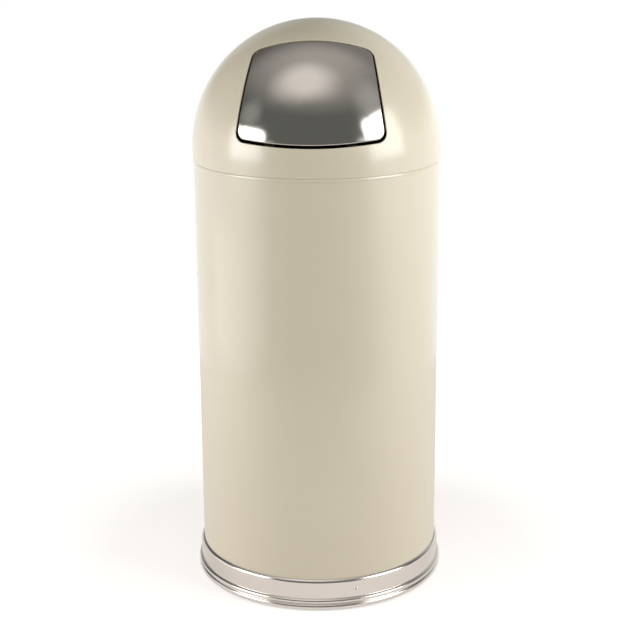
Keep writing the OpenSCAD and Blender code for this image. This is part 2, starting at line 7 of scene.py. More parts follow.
import bmesh
import bpy
from bpy.props import FloatProperty, FloatVectorProperty, IntProperty, PointerProperty
from mathutils import Matrix, Quaternion, Vector


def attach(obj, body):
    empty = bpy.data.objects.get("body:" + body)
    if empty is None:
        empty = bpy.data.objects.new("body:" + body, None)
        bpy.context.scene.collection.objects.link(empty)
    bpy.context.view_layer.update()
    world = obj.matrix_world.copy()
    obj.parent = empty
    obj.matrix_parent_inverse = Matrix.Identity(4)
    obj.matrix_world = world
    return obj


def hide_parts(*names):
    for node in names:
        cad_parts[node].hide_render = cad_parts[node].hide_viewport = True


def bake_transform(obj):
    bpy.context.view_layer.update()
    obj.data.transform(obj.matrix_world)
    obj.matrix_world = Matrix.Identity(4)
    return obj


bl_info = {
    "name": "Dome Top Waste Receptacle",
    "version": (1, 0, 0),
    "blender": (4, 5, 0),
    "location": "3D View > Sidebar > Receptacle",
    "description": "Builds a dome top waste receptacle piece by piece over its packed frame",
    "category": "Add Mesh",
}

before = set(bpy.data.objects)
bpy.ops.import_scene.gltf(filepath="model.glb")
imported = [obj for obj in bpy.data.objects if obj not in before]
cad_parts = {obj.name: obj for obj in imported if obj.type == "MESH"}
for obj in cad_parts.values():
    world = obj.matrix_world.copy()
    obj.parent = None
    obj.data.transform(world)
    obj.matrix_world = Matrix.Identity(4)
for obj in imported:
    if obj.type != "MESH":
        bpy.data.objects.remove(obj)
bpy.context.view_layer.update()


# ---------------------------------------------------------------- sizes and colours


def linear(code):
    """Linear colour of an sRGB hex code"""
    parts = [int(code[i : i + 2], 16) / 255 for i in (1, 3, 5)]
    return [c / 12.92 if c <= 0.04045 else ((c + 0.055) / 1.055) ** 2.4 for c in parts]


def length(name, says, millimetres):
    """Length that a user can change, given in millimetres"""
    metres = millimetres / 1000
    return FloatProperty(name=name, description=says, default=metres, min=0, unit="LENGTH", precision=5)


def turn(name, says, degrees):
    """Angle that a user can change, given in degrees"""
    radians = math.radians(degrees)
    return FloatProperty(name=name, description=says, default=radians, subtype="ANGLE", unit="ROTATION")


def colour(name, says, code):
    """Colour that a user can change, given as an sRGB hex code"""
    return FloatVectorProperty(
        name=name, description=says, default=linear(code), size=3, min=0, max=1, subtype="COLOR",
    )


class BodySizes(bpy.types.PropertyGroup):
    height: length("Overall height", "From the floor to the top of the dome", 889)
    diameter: length("Body diameter", "Outside diameter of the body shell", 381)
    wall: length("Shell wall", "Sheet thickness of the body shell", 1)
    seat_gap: length("Seat gap", "Gap between pieces that lift apart", 0.3)
    weld_gap: length("Weld gap", "Gap between pieces fastened face to face", 0.1)
    neck: length("Neck", "Height of the neck that stands inside the dome", 17)
    bead: length("Bead", "Height of the swaged bead under the dome", 4.5)
    hem: length("Rim hem", "Outside radius of the hem at the top rim", 1.6)
    pan_height: length("Pan height", "Upper face of the bottom pan above the floor", 17)
    pan_wall: length("Pan wall", "Sheet thickness of the bottom pan", 1)
    pan_bend: length("Pan bend", "Radius of the bend into the pan's flange", 3)
    pan_groove: length("Pan groove radius", "Radius of the pressed stiffening ring", 110)
    pan_groove_width: length("Pan groove width", "Width of the pressed stiffening ring", 16)
    pan_groove_depth: length("Pan groove depth", "Depth of the pressed stiffening ring", 4)
    gasket: length("Gasket height", "Height of the foot gasket", 9)
    gasket_wall: length("Gasket wall", "Thickness of the gasket's legs and sole", 2.6)


class RingSizes(bpy.types.PropertyGroup):
    height: length("Ring height", "Upper edge of the base ring above the floor", 50.6)
    wall: length("Ring wall", "Sheet thickness of the base ring", 0.8)
    offset: length("Band offset", "Distance of the flat band outside the body", 4.5)
    bevel: length("Bevel radius", "Radius of the bevel rolled in at the top", 6.5)
    shoulder: length("Shoulder radius", "Radius of the rolled shoulder under the band", 4)
    shoulder_height: length("Shoulder height", "Centre of the shoulder above the floor", 15.7)
    lip: length("Lip radius", "Radius of the rolled lip at the foot", 4.9)
    lip_clear: length("Lip clearance", "Lowest point of the lip above the floor", 1.5)
    cove: length("Cove radius", "Radius of the cove between band and shoulder", 1)
    rivets: IntProperty(
        name="Rivets", description="Number of rivets round the ring", default=3, min=1, max=12,
    )
    rivet_height: length("Rivet height", "Height of the rivets above the floor", 32.2)
    rivet_turn: turn("First rivet", "Turn of the first rivet from the door's side", 20.2)
    rivet_radius: length("Rivet radius", "Radius of a rivet's head", 3)
    rivet_head: length("Rivet head", "Height of a rivet's head", 1.2)
    rivet_tail: length("Rivet tail", "Height of a rivet's tail inside the shell", 1.4)


class DomeSizes(bpy.types.PropertyGroup):
    wall: length("Dome wall", "Sheet thickness of the dome", 1)
    skirt: length("Skirt", "Height of the straight skirt under the round part", 20.5)
    lip: length("Lip depth", "Depth of the lip returned round the opening", 4)
    edge: length("Edge radius", "Radius on the edge of the opening and of the door", 1.5)
    tilt: turn("Opening tilt", "Elevation of the opening's middle", 33.7)
    opening_height: length("Opening height", "From the sill to the head of the opening", 172.4)
    opening_width: length("Opening width", "Width of the opening half way up", 201.4)
    lean: turn("Side lean", "Lean of each side of the opening", 9.1)
    sill: length("Sill radius", "Radius of the sill's curve", 262)
    head: length("Head radius", "Radius of the head's curve", 660)
    corner: length("Corner radius", "Corner radius of the opening", 18)


class DoorSizes(bpy.types.PropertyGroup):
    wall: length("Door wall", "Sheet thickness of the door panel", 0.8)
    hem: length("Hem depth", "Depth of the hem returned round the door", 8)
    sill_gap: length("Sill gap", "Gap between the door and the sill", 4)
    side_gap: length("Side gap", "Gap between the door and the sides", 2.3)
    head_gap: length("Head gap", "Gap between the door and the head", 2)
    hinge_depth: length("Hinge depth", "Depth of the pivot behind the head", 20)
    hinge_drop: length("Hinge drop", "Distance of the pivot below the head", 5)
    rod: length("Rod radius", "Radius of the pivot rod", 2.5)
    rod_half: length("Rod half length", "Half length of the pivot rod", 54)
    wire: length("Spring wire", "Radius of the spring's wire", 0.8)
    coil: length("Spring coil", "Mean radius of the spring's coil", 4.6)
    coil_gap: length("Spring gap", "Clear gap between neighbouring coils", 0.6)
    turns: IntProperty(
        name="Spring turns", description="Whole turns in the spring's coil", default=9, min=3, max=20,
    )
    leg: length("Spring leg", "Reach of each leg of the spring", 28)


class LinerSizes(bpy.types.PropertyGroup):
    gap: length("Liner gap", "Gap all round between the liner and the body shell", 19.5)
    drop: length("Liner drop", "Depth of the liner's rim below the dome's lower edge", 26.7)
    wall: length("Liner wall", "Sheet thickness of the liner", 0.7)
    roll: length("Rolled rim", "Outside radius of the rolled rim", 2.7)
    upper_bead: length("Upper bead", "Upper swaged bead, down from the rim", 150)
    lower_bead: length("Lower bead", "Lower swaged bead above the floor", 90)
    bead: length("Bead height", "Height of a swaged bead", 9)
    bead_out: length("Bead depth", "How far a swaged bead stands out", 2)
    lift: length("Bottom lift", "Height of the liner's bottom above the wall's edge", 8)
    flange: length("Bottom flange", "Depth of the flange on the liner's bottom", 7)
    ear_drop: length("Ear drop", "Depth of the bail's pivot below the rim", 18)
    ear_height: length("Ear height", "Height of an ear", 28)
    ear_turn: turn("Ear width", "Width of an ear as an angle round the liner", 16)
    ear_wall: length("Ear wall", "Sheet thickness of an ear", 1.2)
    ear_rivet: length("Ear rivet", "Radius of an ear rivet's shank", 1.6)
    wire: length("Bail wire", "Radius of the bail's wire", 2)
    bend: length("Bail bend", "Radius of the bail's bends at the ears", 3.6)
    clear: length("Bail clearance", "Clearance between the bail and the rolled rim", 1.6)


class Finishes(bpy.types.PropertyGroup):
    enamel: colour("Enamel", "Almond baked enamel on the body and dome", "#DDD3BD")
    door: colour("Polished stainless", "The push door's polished sheet", "#C4BFBA")
    ring: colour("Bright stainless", "The base ring's bright rolled sheet", "#DDD7D3")
    zinc: colour("Zinc plate", "Pressed brackets, lugs, tabs and bottom pan", "#B9BAB4")
    wire: colour("Drawn wire", "Rod, spring, bail and rivets", "#A9A9A6")
    galvanised: colour("Galvanised sheet", "The liner's spangled sheet", "#AEB3B5")
    vinyl: colour("Vinyl", "Foot gasket and door bumpers", "#1D1D1C")
    floor: colour("Floor", "Pale studio floor", "#DAD6D3")


def measure(scene):
    """Every size that the pieces share, worked out from the property groups

    Names in _r are radii from the axis and names in _z are heights above the floor."""
    body, ring, dome, door, liner = (
        scene.receptacle_body, scene.receptacle_ring, scene.receptacle_dome,
        scene.receptacle_door, scene.receptacle_liner,
    )
    m = SimpleNamespace(body=body, ring=ring, dome=dome, door=door, liner=liner)
    m.body_r = body.diameter / 2
    m.dome_r = m.body_r + body.seat_gap + dome.wall
    m.dome_z = body.height - m.dome_r
    m.skirt_z = m.dome_z - dome.skirt
    m.bead_out = m.dome_r - m.body_r
    m.bead_z = m.skirt_z - body.seat_gap - body.bead / 2
    m.rim_z = m.bead_z + body.bead / 2 + body.neck
    m.foot_z = body.gasket_wall
    m.band_r = m.body_r + ring.offset
    bevel_reach = body.seat_gap - ring.offset + ring.bevel
    m.bevel_turn = math.degrees(math.acos(bevel_reach / (ring.bevel - ring.wall)))
    # Along the opening's plane from its middle: centres of the sill's and the head's curves, and the hinge
    m.sill_c = dome.sill - dome.opening_height / 2
    m.head_c = dome.opening_height / 2 - dome.head
    m.hinge_w = dome.opening_height / 2 - door.hinge_drop
    # Out from the dome's centre square to that plane: the head, and the hinge behind it
    m.opening_s = math.sqrt(m.dome_r**2 - (dome.opening_height / 2) ** 2)
    m.hinge_s = m.opening_s - door.hinge_depth
    m.liner_r = m.body_r - body.wall - liner.gap
    m.liner_top = m.skirt_z - liner.drop
    m.liner_foot = body.pan_height + body.seat_gap
    m.roll = (m.liner_r - liner.wall + liner.roll, m.liner_top - liner.roll)
    m.pivot_z = m.liner_top - liner.ear_drop
    m.ear_r = m.liner_r + body.weld_gap
    m.bail_r = m.roll[0] + liner.roll + liner.clear + liner.wire
    # How far the bail hangs below level, where it rests on the liner
    m.bail_hang = math.acos((m.liner_r + body.seat_gap) / (m.bail_r + liner.bend - liner.wire))
    return m


# ---------------------------------------------------------------- shared makers

# Facets round a turned piece: one that shows, the base ring with its tight bends, and one inside
ROUND, RING_ROUND, INNER_ROUND = 288, 360, 192
# Smallest bend, in degrees, that shows as an edge: on turned pieces, on stampings, and on thin edges and wire
CREASE, STAMPED_CREASE, SOFT_CREASE = 38, 32, 55
# Points closer than this are one point
WELD = 2e-6
# Height of a wire's rounded end and the width of its first ring, as shares of the wire's radius
END_RISE, END_WIDTH = 0.25, 0.75
# Width by which the sheared edges of small stampings are broken
BROKEN_EDGE = 0.00025


def add(tree, kind, inputs=None, **settings):
    """Add a node with its settings, and fill its inputs with values or with links"""
    node = tree.nodes.new(kind)
    for key, value in settings.items():
        setattr(node, key, value)
    for key, value in (inputs or {}).items():
        if isinstance(value, bpy.types.NodeSocket):
            tree.links.new(value, node.inputs[key])
        else:
            node.inputs[key].default_value = value
    return node


def combined(tree, operation, *values):
    """What a Math node makes of one, two or three values or sockets"""
    return add(tree, "ShaderNodeMath", dict(enumerate(values)), operation=operation).outputs[0]


def arc(centre, radius, start, end, steps):
    """Points along an arc in a plane, its angles in degrees"""
    angles = [math.radians(start + (end - start) * i / steps) for i in range(steps + 1)]
    return [(centre[0] + radius * math.cos(a), centre[1] + radius * math.sin(a)) for a in angles]


def direction(p, q):
    """Angle in degrees of the way from one point to another"""
    return math.degrees(math.atan2(q[1] - p[1], q[0] - p[0]))


def swell(x, fullness):
    """Height, from 0 to 1, of a pressed swell at x from -1 to 1; a fullness under 1 makes it rounder"""
    return (0.5 + 0.5 * math.cos(math.pi * x)) ** fullness


def new_piece(name, mesh):
    """Object for a mesh, at the origin as the CAD nodes are"""
    piece = bpy.data.objects.new(name, mesh)
    bpy.context.scene.collection.objects.link(piece)
    return piece


def settle(piece):
    """Turn what a piece's modifiers make into its own plain mesh"""
    graph = bpy.context.evaluated_depsgraph_get()
    graph.update()
    mesh = bpy.data.meshes.new_from_object(
        piece.evaluated_get(graph), preserve_all_data_layers=True, depsgraph=graph,
    )
    old = piece.data
    piece.modifiers.clear()
    piece.data = mesh
    mesh.name = piece.name
    bpy.data.meshes.remove(old)
    return piece


def dress(piece, finish, crease=CREASE, edge=0, recalculate=True):
    """Point a closed piece's faces outwards, smooth it but for its creases, and give it its finish"""
    shape = bmesh.new()
    shape.from_mesh(piece.data)
    bmesh.ops.remove_doubles(shape, verts=shape.verts, dist=WELD)
    if recalculate:
        bmesh.ops.recalc_face_normals(shape, faces=shape.faces)
    shape.to_mesh(piece.data)
    shape.free()
    piece.data.materials.clear()
    piece.data.materials.append(finish)
    piece.data.shade_smooth()
    if edge:
        bevel = piece.modifiers.new("Broken edges", "BEVEL")
        bevel.width = edge
        bevel.segments = 2
        bevel.limit_method = "ANGLE"
        bevel.angle_limit = math.radians(crease)
        settle(piece)
    piece.data.set_sharp_from_angle(angle=math.radians(crease))
    weighted = piece.modifiers.new("Weighted normals", "WEIGHTED_NORMAL")
    weighted.keep_sharp = True
    weighted.weight = 100
    return settle(piece)


def hand_over(piece, body, slot, *nodes):
    """Ride the piece on its body and let it stand for its CAD nodes. The slot is not used."""
    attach(piece, body)
    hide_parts(*nodes)


def skin(name, rings, start=None, end=None, looped=False):
    """Mesh over rings of equally many points, closed at a pole or back on to the first ring"""
    count = len(rings[0])
    points = [p for ring in rings for p in ring]
    faces = []
    steps = len(rings) if looped else len(rings) - 1
    for i in range(steps):
        a, b = i * count, (i + 1) % len(rings) * count
        faces += [(a + k, a + (k + 1) % count, b + (k + 1) % count, b + k) for k in range(count)]
    for pole, base in ((start, 0), (end, (len(rings) - 1) * count)):
        if pole is not None:
            points.append(pole)
            faces += [(base + k, base + (k + 1) % count, len(points) - 1) for k in range(count)]
    mesh = bpy.data.meshes.new(name)
    mesh.from_pydata([tuple(p) for p in points], [], faces)
    return new_piece(name, mesh)


def rod(name, path, radius, sides=16):
    """Round wire along a path, its ends closed and slightly domed"""
    path = [Vector(p) for p in path]
    angles = [math.tau * k / sides for k in range(sides)]
    rings = []
    normal = None
    for i, p in enumerate(path):
        along = (path[min(i + 1, len(path) - 1)] - path[max(i - 1, 0)]).normalized()
        if normal is None:
            normal = along.orthogonal()
        normal = (normal - along * normal.dot(along)).normalized()
        side = along.cross(normal)
        ring = [p + radius * (normal * math.cos(a) + side * math.sin(a)) for a in angles]
        if i in (0, len(path) - 1):
            out = -along if i == 0 else along
            rounded = [p + out * radius * END_RISE + (q - p) * END_WIDTH for q in ring]
            rings += [rounded, ring] if i == 0 else [ring, rounded]
        else:
            rings.append(ring)
    first, last = (path[1] - path[0]).normalized(), (path[-1] - path[-2]).normalized()
    start, end = path[0] - first * radius * END_RISE, path[-1] + last * radius * END_RISE
    return skin(name, rings, start, end)


def turned_about_x(name, profile, sides=28):
    """Small turned piece about the X axis, from (along, radius) points"""
    angles = [math.tau * k / sides for k in range(sides)]
    rings = [[(x, r * math.cos(a), r * math.sin(a)) for a in angles] for x, r in profile]
    return skin(name, rings, (profile[0][0], 0, 0), (profile[-1][0], 0, 0))


# ---------------------------------------------------------------- geometry nodes


def group_with(name, **inputs):
    """Empty geometry tree with a geometry in and out and the named inputs"""
    tree = bpy.data.node_groups.new(name, "GeometryNodeTree")
    tree.interface.new_socket("Geometry", in_out="INPUT", socket_type="NodeSocketGeometry")
    for key, (kind, value) in inputs.items():
        label = key.replace("_", " ").capitalize()
        socket = tree.interface.new_socket(label, in_out="INPUT", socket_type=kind)
        if value is not None:
            socket.default_value = value
    tree.interface.new_socket("Geometry", in_out="OUTPUT", socket_type="NodeSocketGeometry")
    return tree, tree.nodes.new("NodeGroupInput").outputs


def close_tree(tree, geometry, material):
    """End a tree the way the export needs: real meshes with their material set"""
    real = add(tree, "GeometryNodeRealizeInstances", {"Geometry": geometry})
    painted = add(tree, "GeometryNodeSetMaterial", {"Geometry": real.outputs[0], "Material": material})
    add(tree, "NodeGroupOutput", {0: painted.outputs[0]})
    return tree


def turned_profile_tree():
    """Turns a closed profile, drawn as points in the XZ plane, once round the axis"""
    tree, given = group_with(
        "Turned profile", segments=("NodeSocketInt", ROUND), weld=("NodeSocketFloat", WELD),
        finish=("NodeSocketMaterial", None),
    )
    size = add(tree, "GeometryNodeAttributeDomainSize", {"Geometry": given["Geometry"]}, component="MESH")
    points = size.outputs["Point Count"]

    # A sheet one metre square about the origin, with a row for each point of the profile and one to close it
    sheet = add(tree, "GeometryNodeMeshGrid", {
        "Size X": 1.0, "Size Y": 1.0,
        "Vertices X": combined(tree, "ADD", given["Segments"], 1.0),
        "Vertices Y": combined(tree, "ADD", points, 1.0),
    })
    place = add(tree, "ShaderNodeSeparateXYZ", {0: add(tree, "GeometryNodeInputPosition").outputs[0]}).outputs
    angle = combined(tree, "MULTIPLY", combined(tree, "ADD", place["X"], 0.5), math.tau)
    row = combined(tree, "MULTIPLY", combined(tree, "ADD", place["Y"], 0.5), points)
    index = combined(tree, "MODULO", combined(tree, "ROUND", row), points)

    # Each row goes to its own point of the profile, and each column to its own turn about the axis
    sample = add(tree, "GeometryNodeSampleIndex", {
        "Geometry": given["Geometry"], "Value": add(tree, "GeometryNodeInputPosition").outputs[0],
        "Index": index,
    }, data_type="FLOAT_VECTOR", domain="POINT")
    drawn = add(tree, "ShaderNodeSeparateXYZ", {0: sample.outputs["Value"]}).outputs
    x = combined(tree, "MULTIPLY", drawn["X"], combined(tree, "COSINE", angle))
    y = combined(tree, "MULTIPLY", drawn["X"], combined(tree, "SINE", angle))
    turned = add(tree, "ShaderNodeCombineXYZ", {0: x, 1: y, 2: drawn["Z"]})
    bent = add(tree, "GeometryNodeSetPosition", {
        "Geometry": sheet.outputs["Mesh"], "Position": turned.outputs[0],
    })
    welded = add(tree, "GeometryNodeMergeByDistance", {
        "Geometry": bent.outputs[0], "Distance": given["Weld"],
    })
    return close_tree(tree, welded.outputs[0], given["Finish"])


def ring_of_tree():
    """Copies a piece, drawn at the front of the axis, round it at even turns"""
    tree, given = group_with(
        "Ring of copies", count=("NodeSocketInt", 3), first_turn=("NodeSocketFloat", 0.0),
        finish=("NodeSocketMaterial", None),
    )
    places = add(tree, "GeometryNodePoints", {"Count": given["Count"]})
    number = add(tree, "GeometryNodeInputIndex").outputs[0]
    pitch = combined(tree, "DIVIDE", math.tau, given["Count"])
    angle = combined(tree, "ADD", combined(tree, "MULTIPLY", number, pitch), given["First turn"])
    rotation = add(tree, "ShaderNodeCombineXYZ", {2: angle})
    copies = add(tree, "GeometryNodeInstanceOnPoints", {
        "Points": places.outputs[0], "Instance": given["Geometry"], "Rotation": rotation.outputs[0],
    })
    return close_tree(tree, copies.outputs[0], given["Finish"])


def run_tree(piece, tree, **values):
    """Give a piece the tree with its inputs set by identifier, and settle what it makes"""
    modifier = piece.modifiers.new(tree.name, "NODES")
    modifier.node_group = tree
    for item in tree.interface.items_tree:
        key = item.name.lower().replace(" ", "_")
        if item.in_out == "INPUT" and key in values:
            modifier[item.identifier] = values[key]
    return settle(piece)


def tree_named(name, maker):
    """The tree of a name, made the first time that it is asked for"""
    return bpy.data.node_groups.get(name) or maker()


def turned_piece(name, profile, finish, segments=ROUND):
    """Sheet metal or moulded ring turned from a closed profile of (radius, height) points"""
    mesh = bpy.data.meshes.new(name)
    mesh.from_pydata([(r, 0, z) for r, z in profile], [], [])
    piece = new_piece(name, mesh)
    run_tree(piece, tree_named("Turned profile", turned_profile_tree), segments=segments, finish=finish)
    return dress(piece, finish)


def ring_of(piece, count, first_turn, finish):
    """Copies of a small piece round the axis, as one piece"""
    tree = tree_named("Ring of copies", ring_of_tree)
    run_tree(piece, tree, count=count, first_turn=first_turn, finish=finish)
    return dress(piece, finish)


def refine(body, slot, *nodes):
    """Copies of small CAD nodes with their loose triangles joined, edges broken and curves smooth"""
    for node in nodes:
        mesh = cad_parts[node].data.copy()
        mesh.name = node + "_finished"
        piece = new_piece(node + "_finished", mesh)
        piece = dress(piece, finish_of(slot), STAMPED_CREASE, BROKEN_EDGE, recalculate=False)
        hand_over(piece, body, slot, node)


# ---------------------------------------------------------------- finishes

# A noise texture's values lie mostly between these
NOISE_LOW, NOISE_HIGH = 0.3, 0.7


def repeats(millimetres):
    """Scale of a pattern whose crests or cells are this far apart"""
    return 1000 / millimetres


def blank_finish(name):
    """Empty material with a Principled shader on its output"""
    material = bpy.data.materials.new(name)
    material.use_nodes = True
    tree = material.node_tree
    tree.nodes.clear()
    shader = add(tree, "ShaderNodeBsdfPrincipled")
    add(tree, "ShaderNodeOutputMaterial", {"Surface": shader.outputs[0]})
    return material, tree, shader


def noise_at(tree, place, apart, detail):
    """Height of a noise texture with its crests the given millimetres apart"""
    inputs = {"Vector": place, "Scale": repeats(apart), "Detail": detail}
    return add(tree, "ShaderNodeTexNoise", inputs).outputs["Fac"]


def spread_about(tree, height, middle, spread):
    """A noise texture's values spread evenly about a middle one"""
    return add(tree, "ShaderNodeMapRange", {
        "Value": height, "From Min": NOISE_LOW, "From Max": NOISE_HIGH,
        "To Min": middle - spread, "To Max": middle + spread,
    }).outputs[0]


def coloured(tree, shader, tone, share):
    """Colour a surface with one tone, made lighter and darker by a share that changes over it"""
    tint = add(tree, "ShaderNodeVectorMath", {0: tuple(tone), "Scale": share}, operation="SCALE")
    tree.links.new(tint.outputs[0], shader.inputs["Base Color"])


def mottled(tree, shader, place, tone, spread, apart):
    """Colour a surface a little unevenly about one tone, its clouds the given millimetres apart"""
    coloured(tree, shader, tone, spread_about(tree, noise_at(tree, place, apart, detail=3.0), 1, spread))


def tones():
    """The colours that a user can change"""
    return bpy.context.scene.receptacle_finishes


def baked_enamel(name):
    """Sprayed and baked enamel: a smooth gloss skin with a faint orange peel, 3 mm from crest to crest"""
    material, tree, shader = blank_finish(name)
    place = add(tree, "ShaderNodeTexCoord").outputs["Object"]
    mottled(tree, shader, place, tones().enamel, spread=0.012, apart=111.1)
    peel = noise_at(tree, place, apart=3.03, detail=2.0)
    bump = add(tree, "ShaderNodeBump", {"Height": peel, "Strength": 0.04, "Distance": 0.0004})
    tree.links.new(bump.outputs[0], shader.inputs["Normal"])
    shader.inputs["Roughness"].default_value = 0.3
    shader.inputs["IOR"].default_value = 1.52
    shader.inputs["Coat Weight"].default_value = 0.6
    shader.inputs["Coat Roughness"].default_value = 0.1
    return material


def sheet_metal(name, tone, roughness, lines, spread, relief, smudge, stretch=(1, 1, 1), wave=0):
    """Bare metal sheet: rolling or polishing lines as a fine stretched grain, with smudges in its gloss

    The lines are the given millimetres apart, coarser than real ones, so that they show at all. The wave
    is how far, in metres, the sheet rolls in and out over about 60 mm."""
    material, tree, shader = blank_finish(name)
    place = add(tree, "ShaderNodeTexCoord").outputs["Object"]
    mottled(tree, shader, place, tone, spread, apart=71.4)
    smears = noise_at(tree, place, apart=45.5, detail=4.0)
    gloss = spread_about(tree, smears, roughness, smudge / 2)
    drawn_out = add(tree, "ShaderNodeMapping", {"Vector": place, "Scale": stretch}).outputs[0]
    streaks = noise_at(tree, drawn_out, apart=lines, detail=3.0)
    bump = add(tree, "ShaderNodeBump", {"Height": streaks, "Strength": relief, "Distance": 0.0003})
    if wave:
        hollows = noise_at(tree, place, apart=58.8, detail=1.0)
        rolled = add(tree, "ShaderNodeBump", {"Height": hollows, "Distance": wave})
        tree.links.new(rolled.outputs[0], bump.inputs["Normal"])
    tree.links.new(gloss, shader.inputs["Roughness"])
    tree.links.new(bump.outputs[0], shader.inputs["Normal"])
    shader.inputs["Metallic"].default_value = 1.0
    return material


def polished_stainless(name):
    """Stainless sheet polished after pressing: soft-edged reflections, fine upright lines, hand smudges"""
    return sheet_metal(
        name, tones().door, roughness=0.1, lines=1.111, spread=0.02, relief=0.02, smudge=0.05,
        stretch=(1, 0.08, 0.08), wave=0.0006,
    )


def bright_stainless(name):
    """Trim strip, bright annealed and roll-formed: clear reflections drawn out along the ring"""
    return sheet_metal(
        name, tones().ring, roughness=0.15, lines=1.429, spread=0.015, relief=0.015, smudge=0.03,
        stretch=(0.1, 0.1, 1),
    )


def zinc_plate(name):
    """Barrel plated pressings: a dull silver with a cloudy, slightly warm passivate"""
    return sheet_metal(name, tones().zinc, roughness=0.34, lines=2.5, spread=0.06, relief=0.05, smudge=0.1)


def drawn_wire(name):
    """Wire drawn through a die: fine lines and a soft sheen"""
    return sheet_metal(name, tones().wire, roughness=0.26, lines=2.0, spread=0.04, relief=0.04, smudge=0.06)


def galvanised_sheet(name):
    """Hot dipped sheet: zinc spangles about 11 mm across, each catching the light a little differently"""
    material, tree, shader = blank_finish(name)
    place = add(tree, "ShaderNodeTexCoord").outputs["Object"]
    spangle = add(tree, "ShaderNodeTexVoronoi", {"Vector": place, "Scale": repeats(11.11)})
    flake = add(tree, "ShaderNodeSeparateColor", {0: spangle.outputs["Color"]}).outputs
    share = add(tree, "ShaderNodeMapRange", {"Value": flake[0], "To Min": 0.86, "To Max": 1.06})
    coloured(tree, shader, tones().galvanised, share.outputs[0])
    gloss = add(tree, "ShaderNodeMapRange", {"Value": flake[1], "To Min": 0.3, "To Max": 0.48})
    tree.links.new(gloss.outputs[0], shader.inputs["Roughness"])
    shader.inputs["Metallic"].default_value = 1.0
    return material


def black_vinyl(name):
    """Extruded vinyl channel and rubber bumpers: matt black with a fine grain"""
    material, tree, shader = blank_finish(name)
    place = add(tree, "ShaderNodeTexCoord").outputs["Object"]
    mottled(tree, shader, place, tones().vinyl, spread=0.15, apart=25.0)
    grain = noise_at(tree, place, apart=0.8333, detail=2.0)
    bump = add(tree, "ShaderNodeBump", {"Height": grain, "Strength": 0.2, "Distance": 0.0002})
    tree.links.new(bump.outputs[0], shader.inputs["Normal"])
    shader.inputs["Roughness"].default_value = 0.62
    return material


# The finish of each of the record's material slots
FINISHES = {
    "enamel": ("Baked almond enamel", baked_enamel),
    "polished_door": ("Polished stainless steel", polished_stainless),
    "bright_ring": ("Bright rolled stainless steel", bright_stainless),
    "zinc_plate": ("Zinc plated steel", zinc_plate),
    "rod_steel": ("Bright drawn steel wire", drawn_wire),
    "galvanised": ("Galvanised steel sheet", galvanised_sheet),
    "vinyl": ("Black extruded vinyl", black_vinyl),
}


def finish_of(slot):
    """The material of a slot, made the first time that it is asked for"""
    name, maker = FINISHES[slot]
    return bpy.data.materials.get(name) or maker(name)


# ---------------------------------------------------------------- body


class RECEPTACLE_OT_body(bpy.types.Operator):
    """Make the enamelled body shell with its swaged bead, neck and hemmed rim"""

    bl_idname = "receptacle.body"
    bl_label = "Body shell"

    def execute(self, context):
        m = measure(context.scene)
        outer, inner = shell_face(m, 0), shell_face(m, m.body.wall)
        piece = turned_piece("body_shell_enamelled", outer + inner[::-1], finish_of("enamel"))
        hand_over(piece, "receptacle_body", "enamel", "body_shell")
        return {"FINISHED"}


def shell_face(m, t):
    """One face of the body shell's profile, set in by t"""
    hem = (m.body_r - m.body.hem, m.rim_z - m.body.hem)
    if t:
        half = (m.body.bead - t) / 2
        radius = (half**2 + m.bead_out**2) / (2 * m.bead_out)
        reach = math.degrees(math.acos(1 - m.bead_out / radius))
        bead = arc((m.body_r - t + m.bead_out - radius, m.bead_z), radius, -reach, reach, 10)
    else:
        bead = bead_face(m)
    return [(m.body_r - t, m.foot_z)] + bead + arc(hem, m.body.hem - t, 0, 270, 18)


def bead_face(m):
    """Outer face of the swaged bead: a tight roll under its crest, and over it an easy slope

    The slope catches the light, and a small curl brings its upper end back to the shell."""
    half, out = m.body.bead / 2, m.bead_out
    # The slope's angle from upright, the crest's drop below the middle, and the slope's climb
    slope, drop, climb = 20, half * 0.4, half * 1.2
    crest = m.bead_z - drop
    tight = ((half - drop) ** 2 + out**2) / (2 * out)
    under = arc((m.body_r + out - tight, crest), tight, -math.degrees(math.acos(1 - out / tight)), 0, 8)
    easy = climb / math.sin(math.radians(slope))
    over = arc((m.body_r + out - easy, crest), easy, 0, slope, 6)
    top_r, top_z = over[-1]
    inwards, upwards = m.body_r - top_r, half + drop - climb
    curl = 2 * (math.degrees(math.atan2(upwards, inwards)) - 90 - slope)
    small = math.hypot(inwards, upwards) / (2 * math.sin(math.radians(curl / 2)))
    a = math.radians(slope)
    centre = (top_r - small * math.cos(a), top_z - small * math.sin(a))
    return under + over[1:] + arc(centre, small, slope, slope + curl, 8)[1:]


class RECEPTACLE_OT_base(bpy.types.Operator):
    """Make the bottom pan, the bright base ring with its rivets, and the foot gasket"""

    bl_idname = "receptacle.base"
    bl_label = "Pan, base ring and gasket"

    def execute(self, context):
        m = measure(context.scene)
        pan = turned_piece("bottom_pan_pressed", pan_profile(m), finish_of("zinc_plate"), INNER_ROUND)
        hand_over(pan, "receptacle_body", "zinc_plate", "bottom_pan")
        face = ring_face(m, 0) + ring_face(m, m.ring.wall)[::-1]
        ring = turned_piece("base_ring_rolled", face, finish_of("bright_ring"), RING_ROUND)
        hand_over(ring, "receptacle_body", "bright_ring", "base_ring")
        gasket = turned_piece("foot_gasket_extruded", gasket_profile(m), finish_of("vinyl"), INNER_ROUND)
        hand_over(gasket, "receptacle_body", "vinyl", "foot_gasket")
        hand_over(ring_rivets(m), "receptacle_body", "bright_ring", "base_ring_rivets")
        return {"FINISHED"}


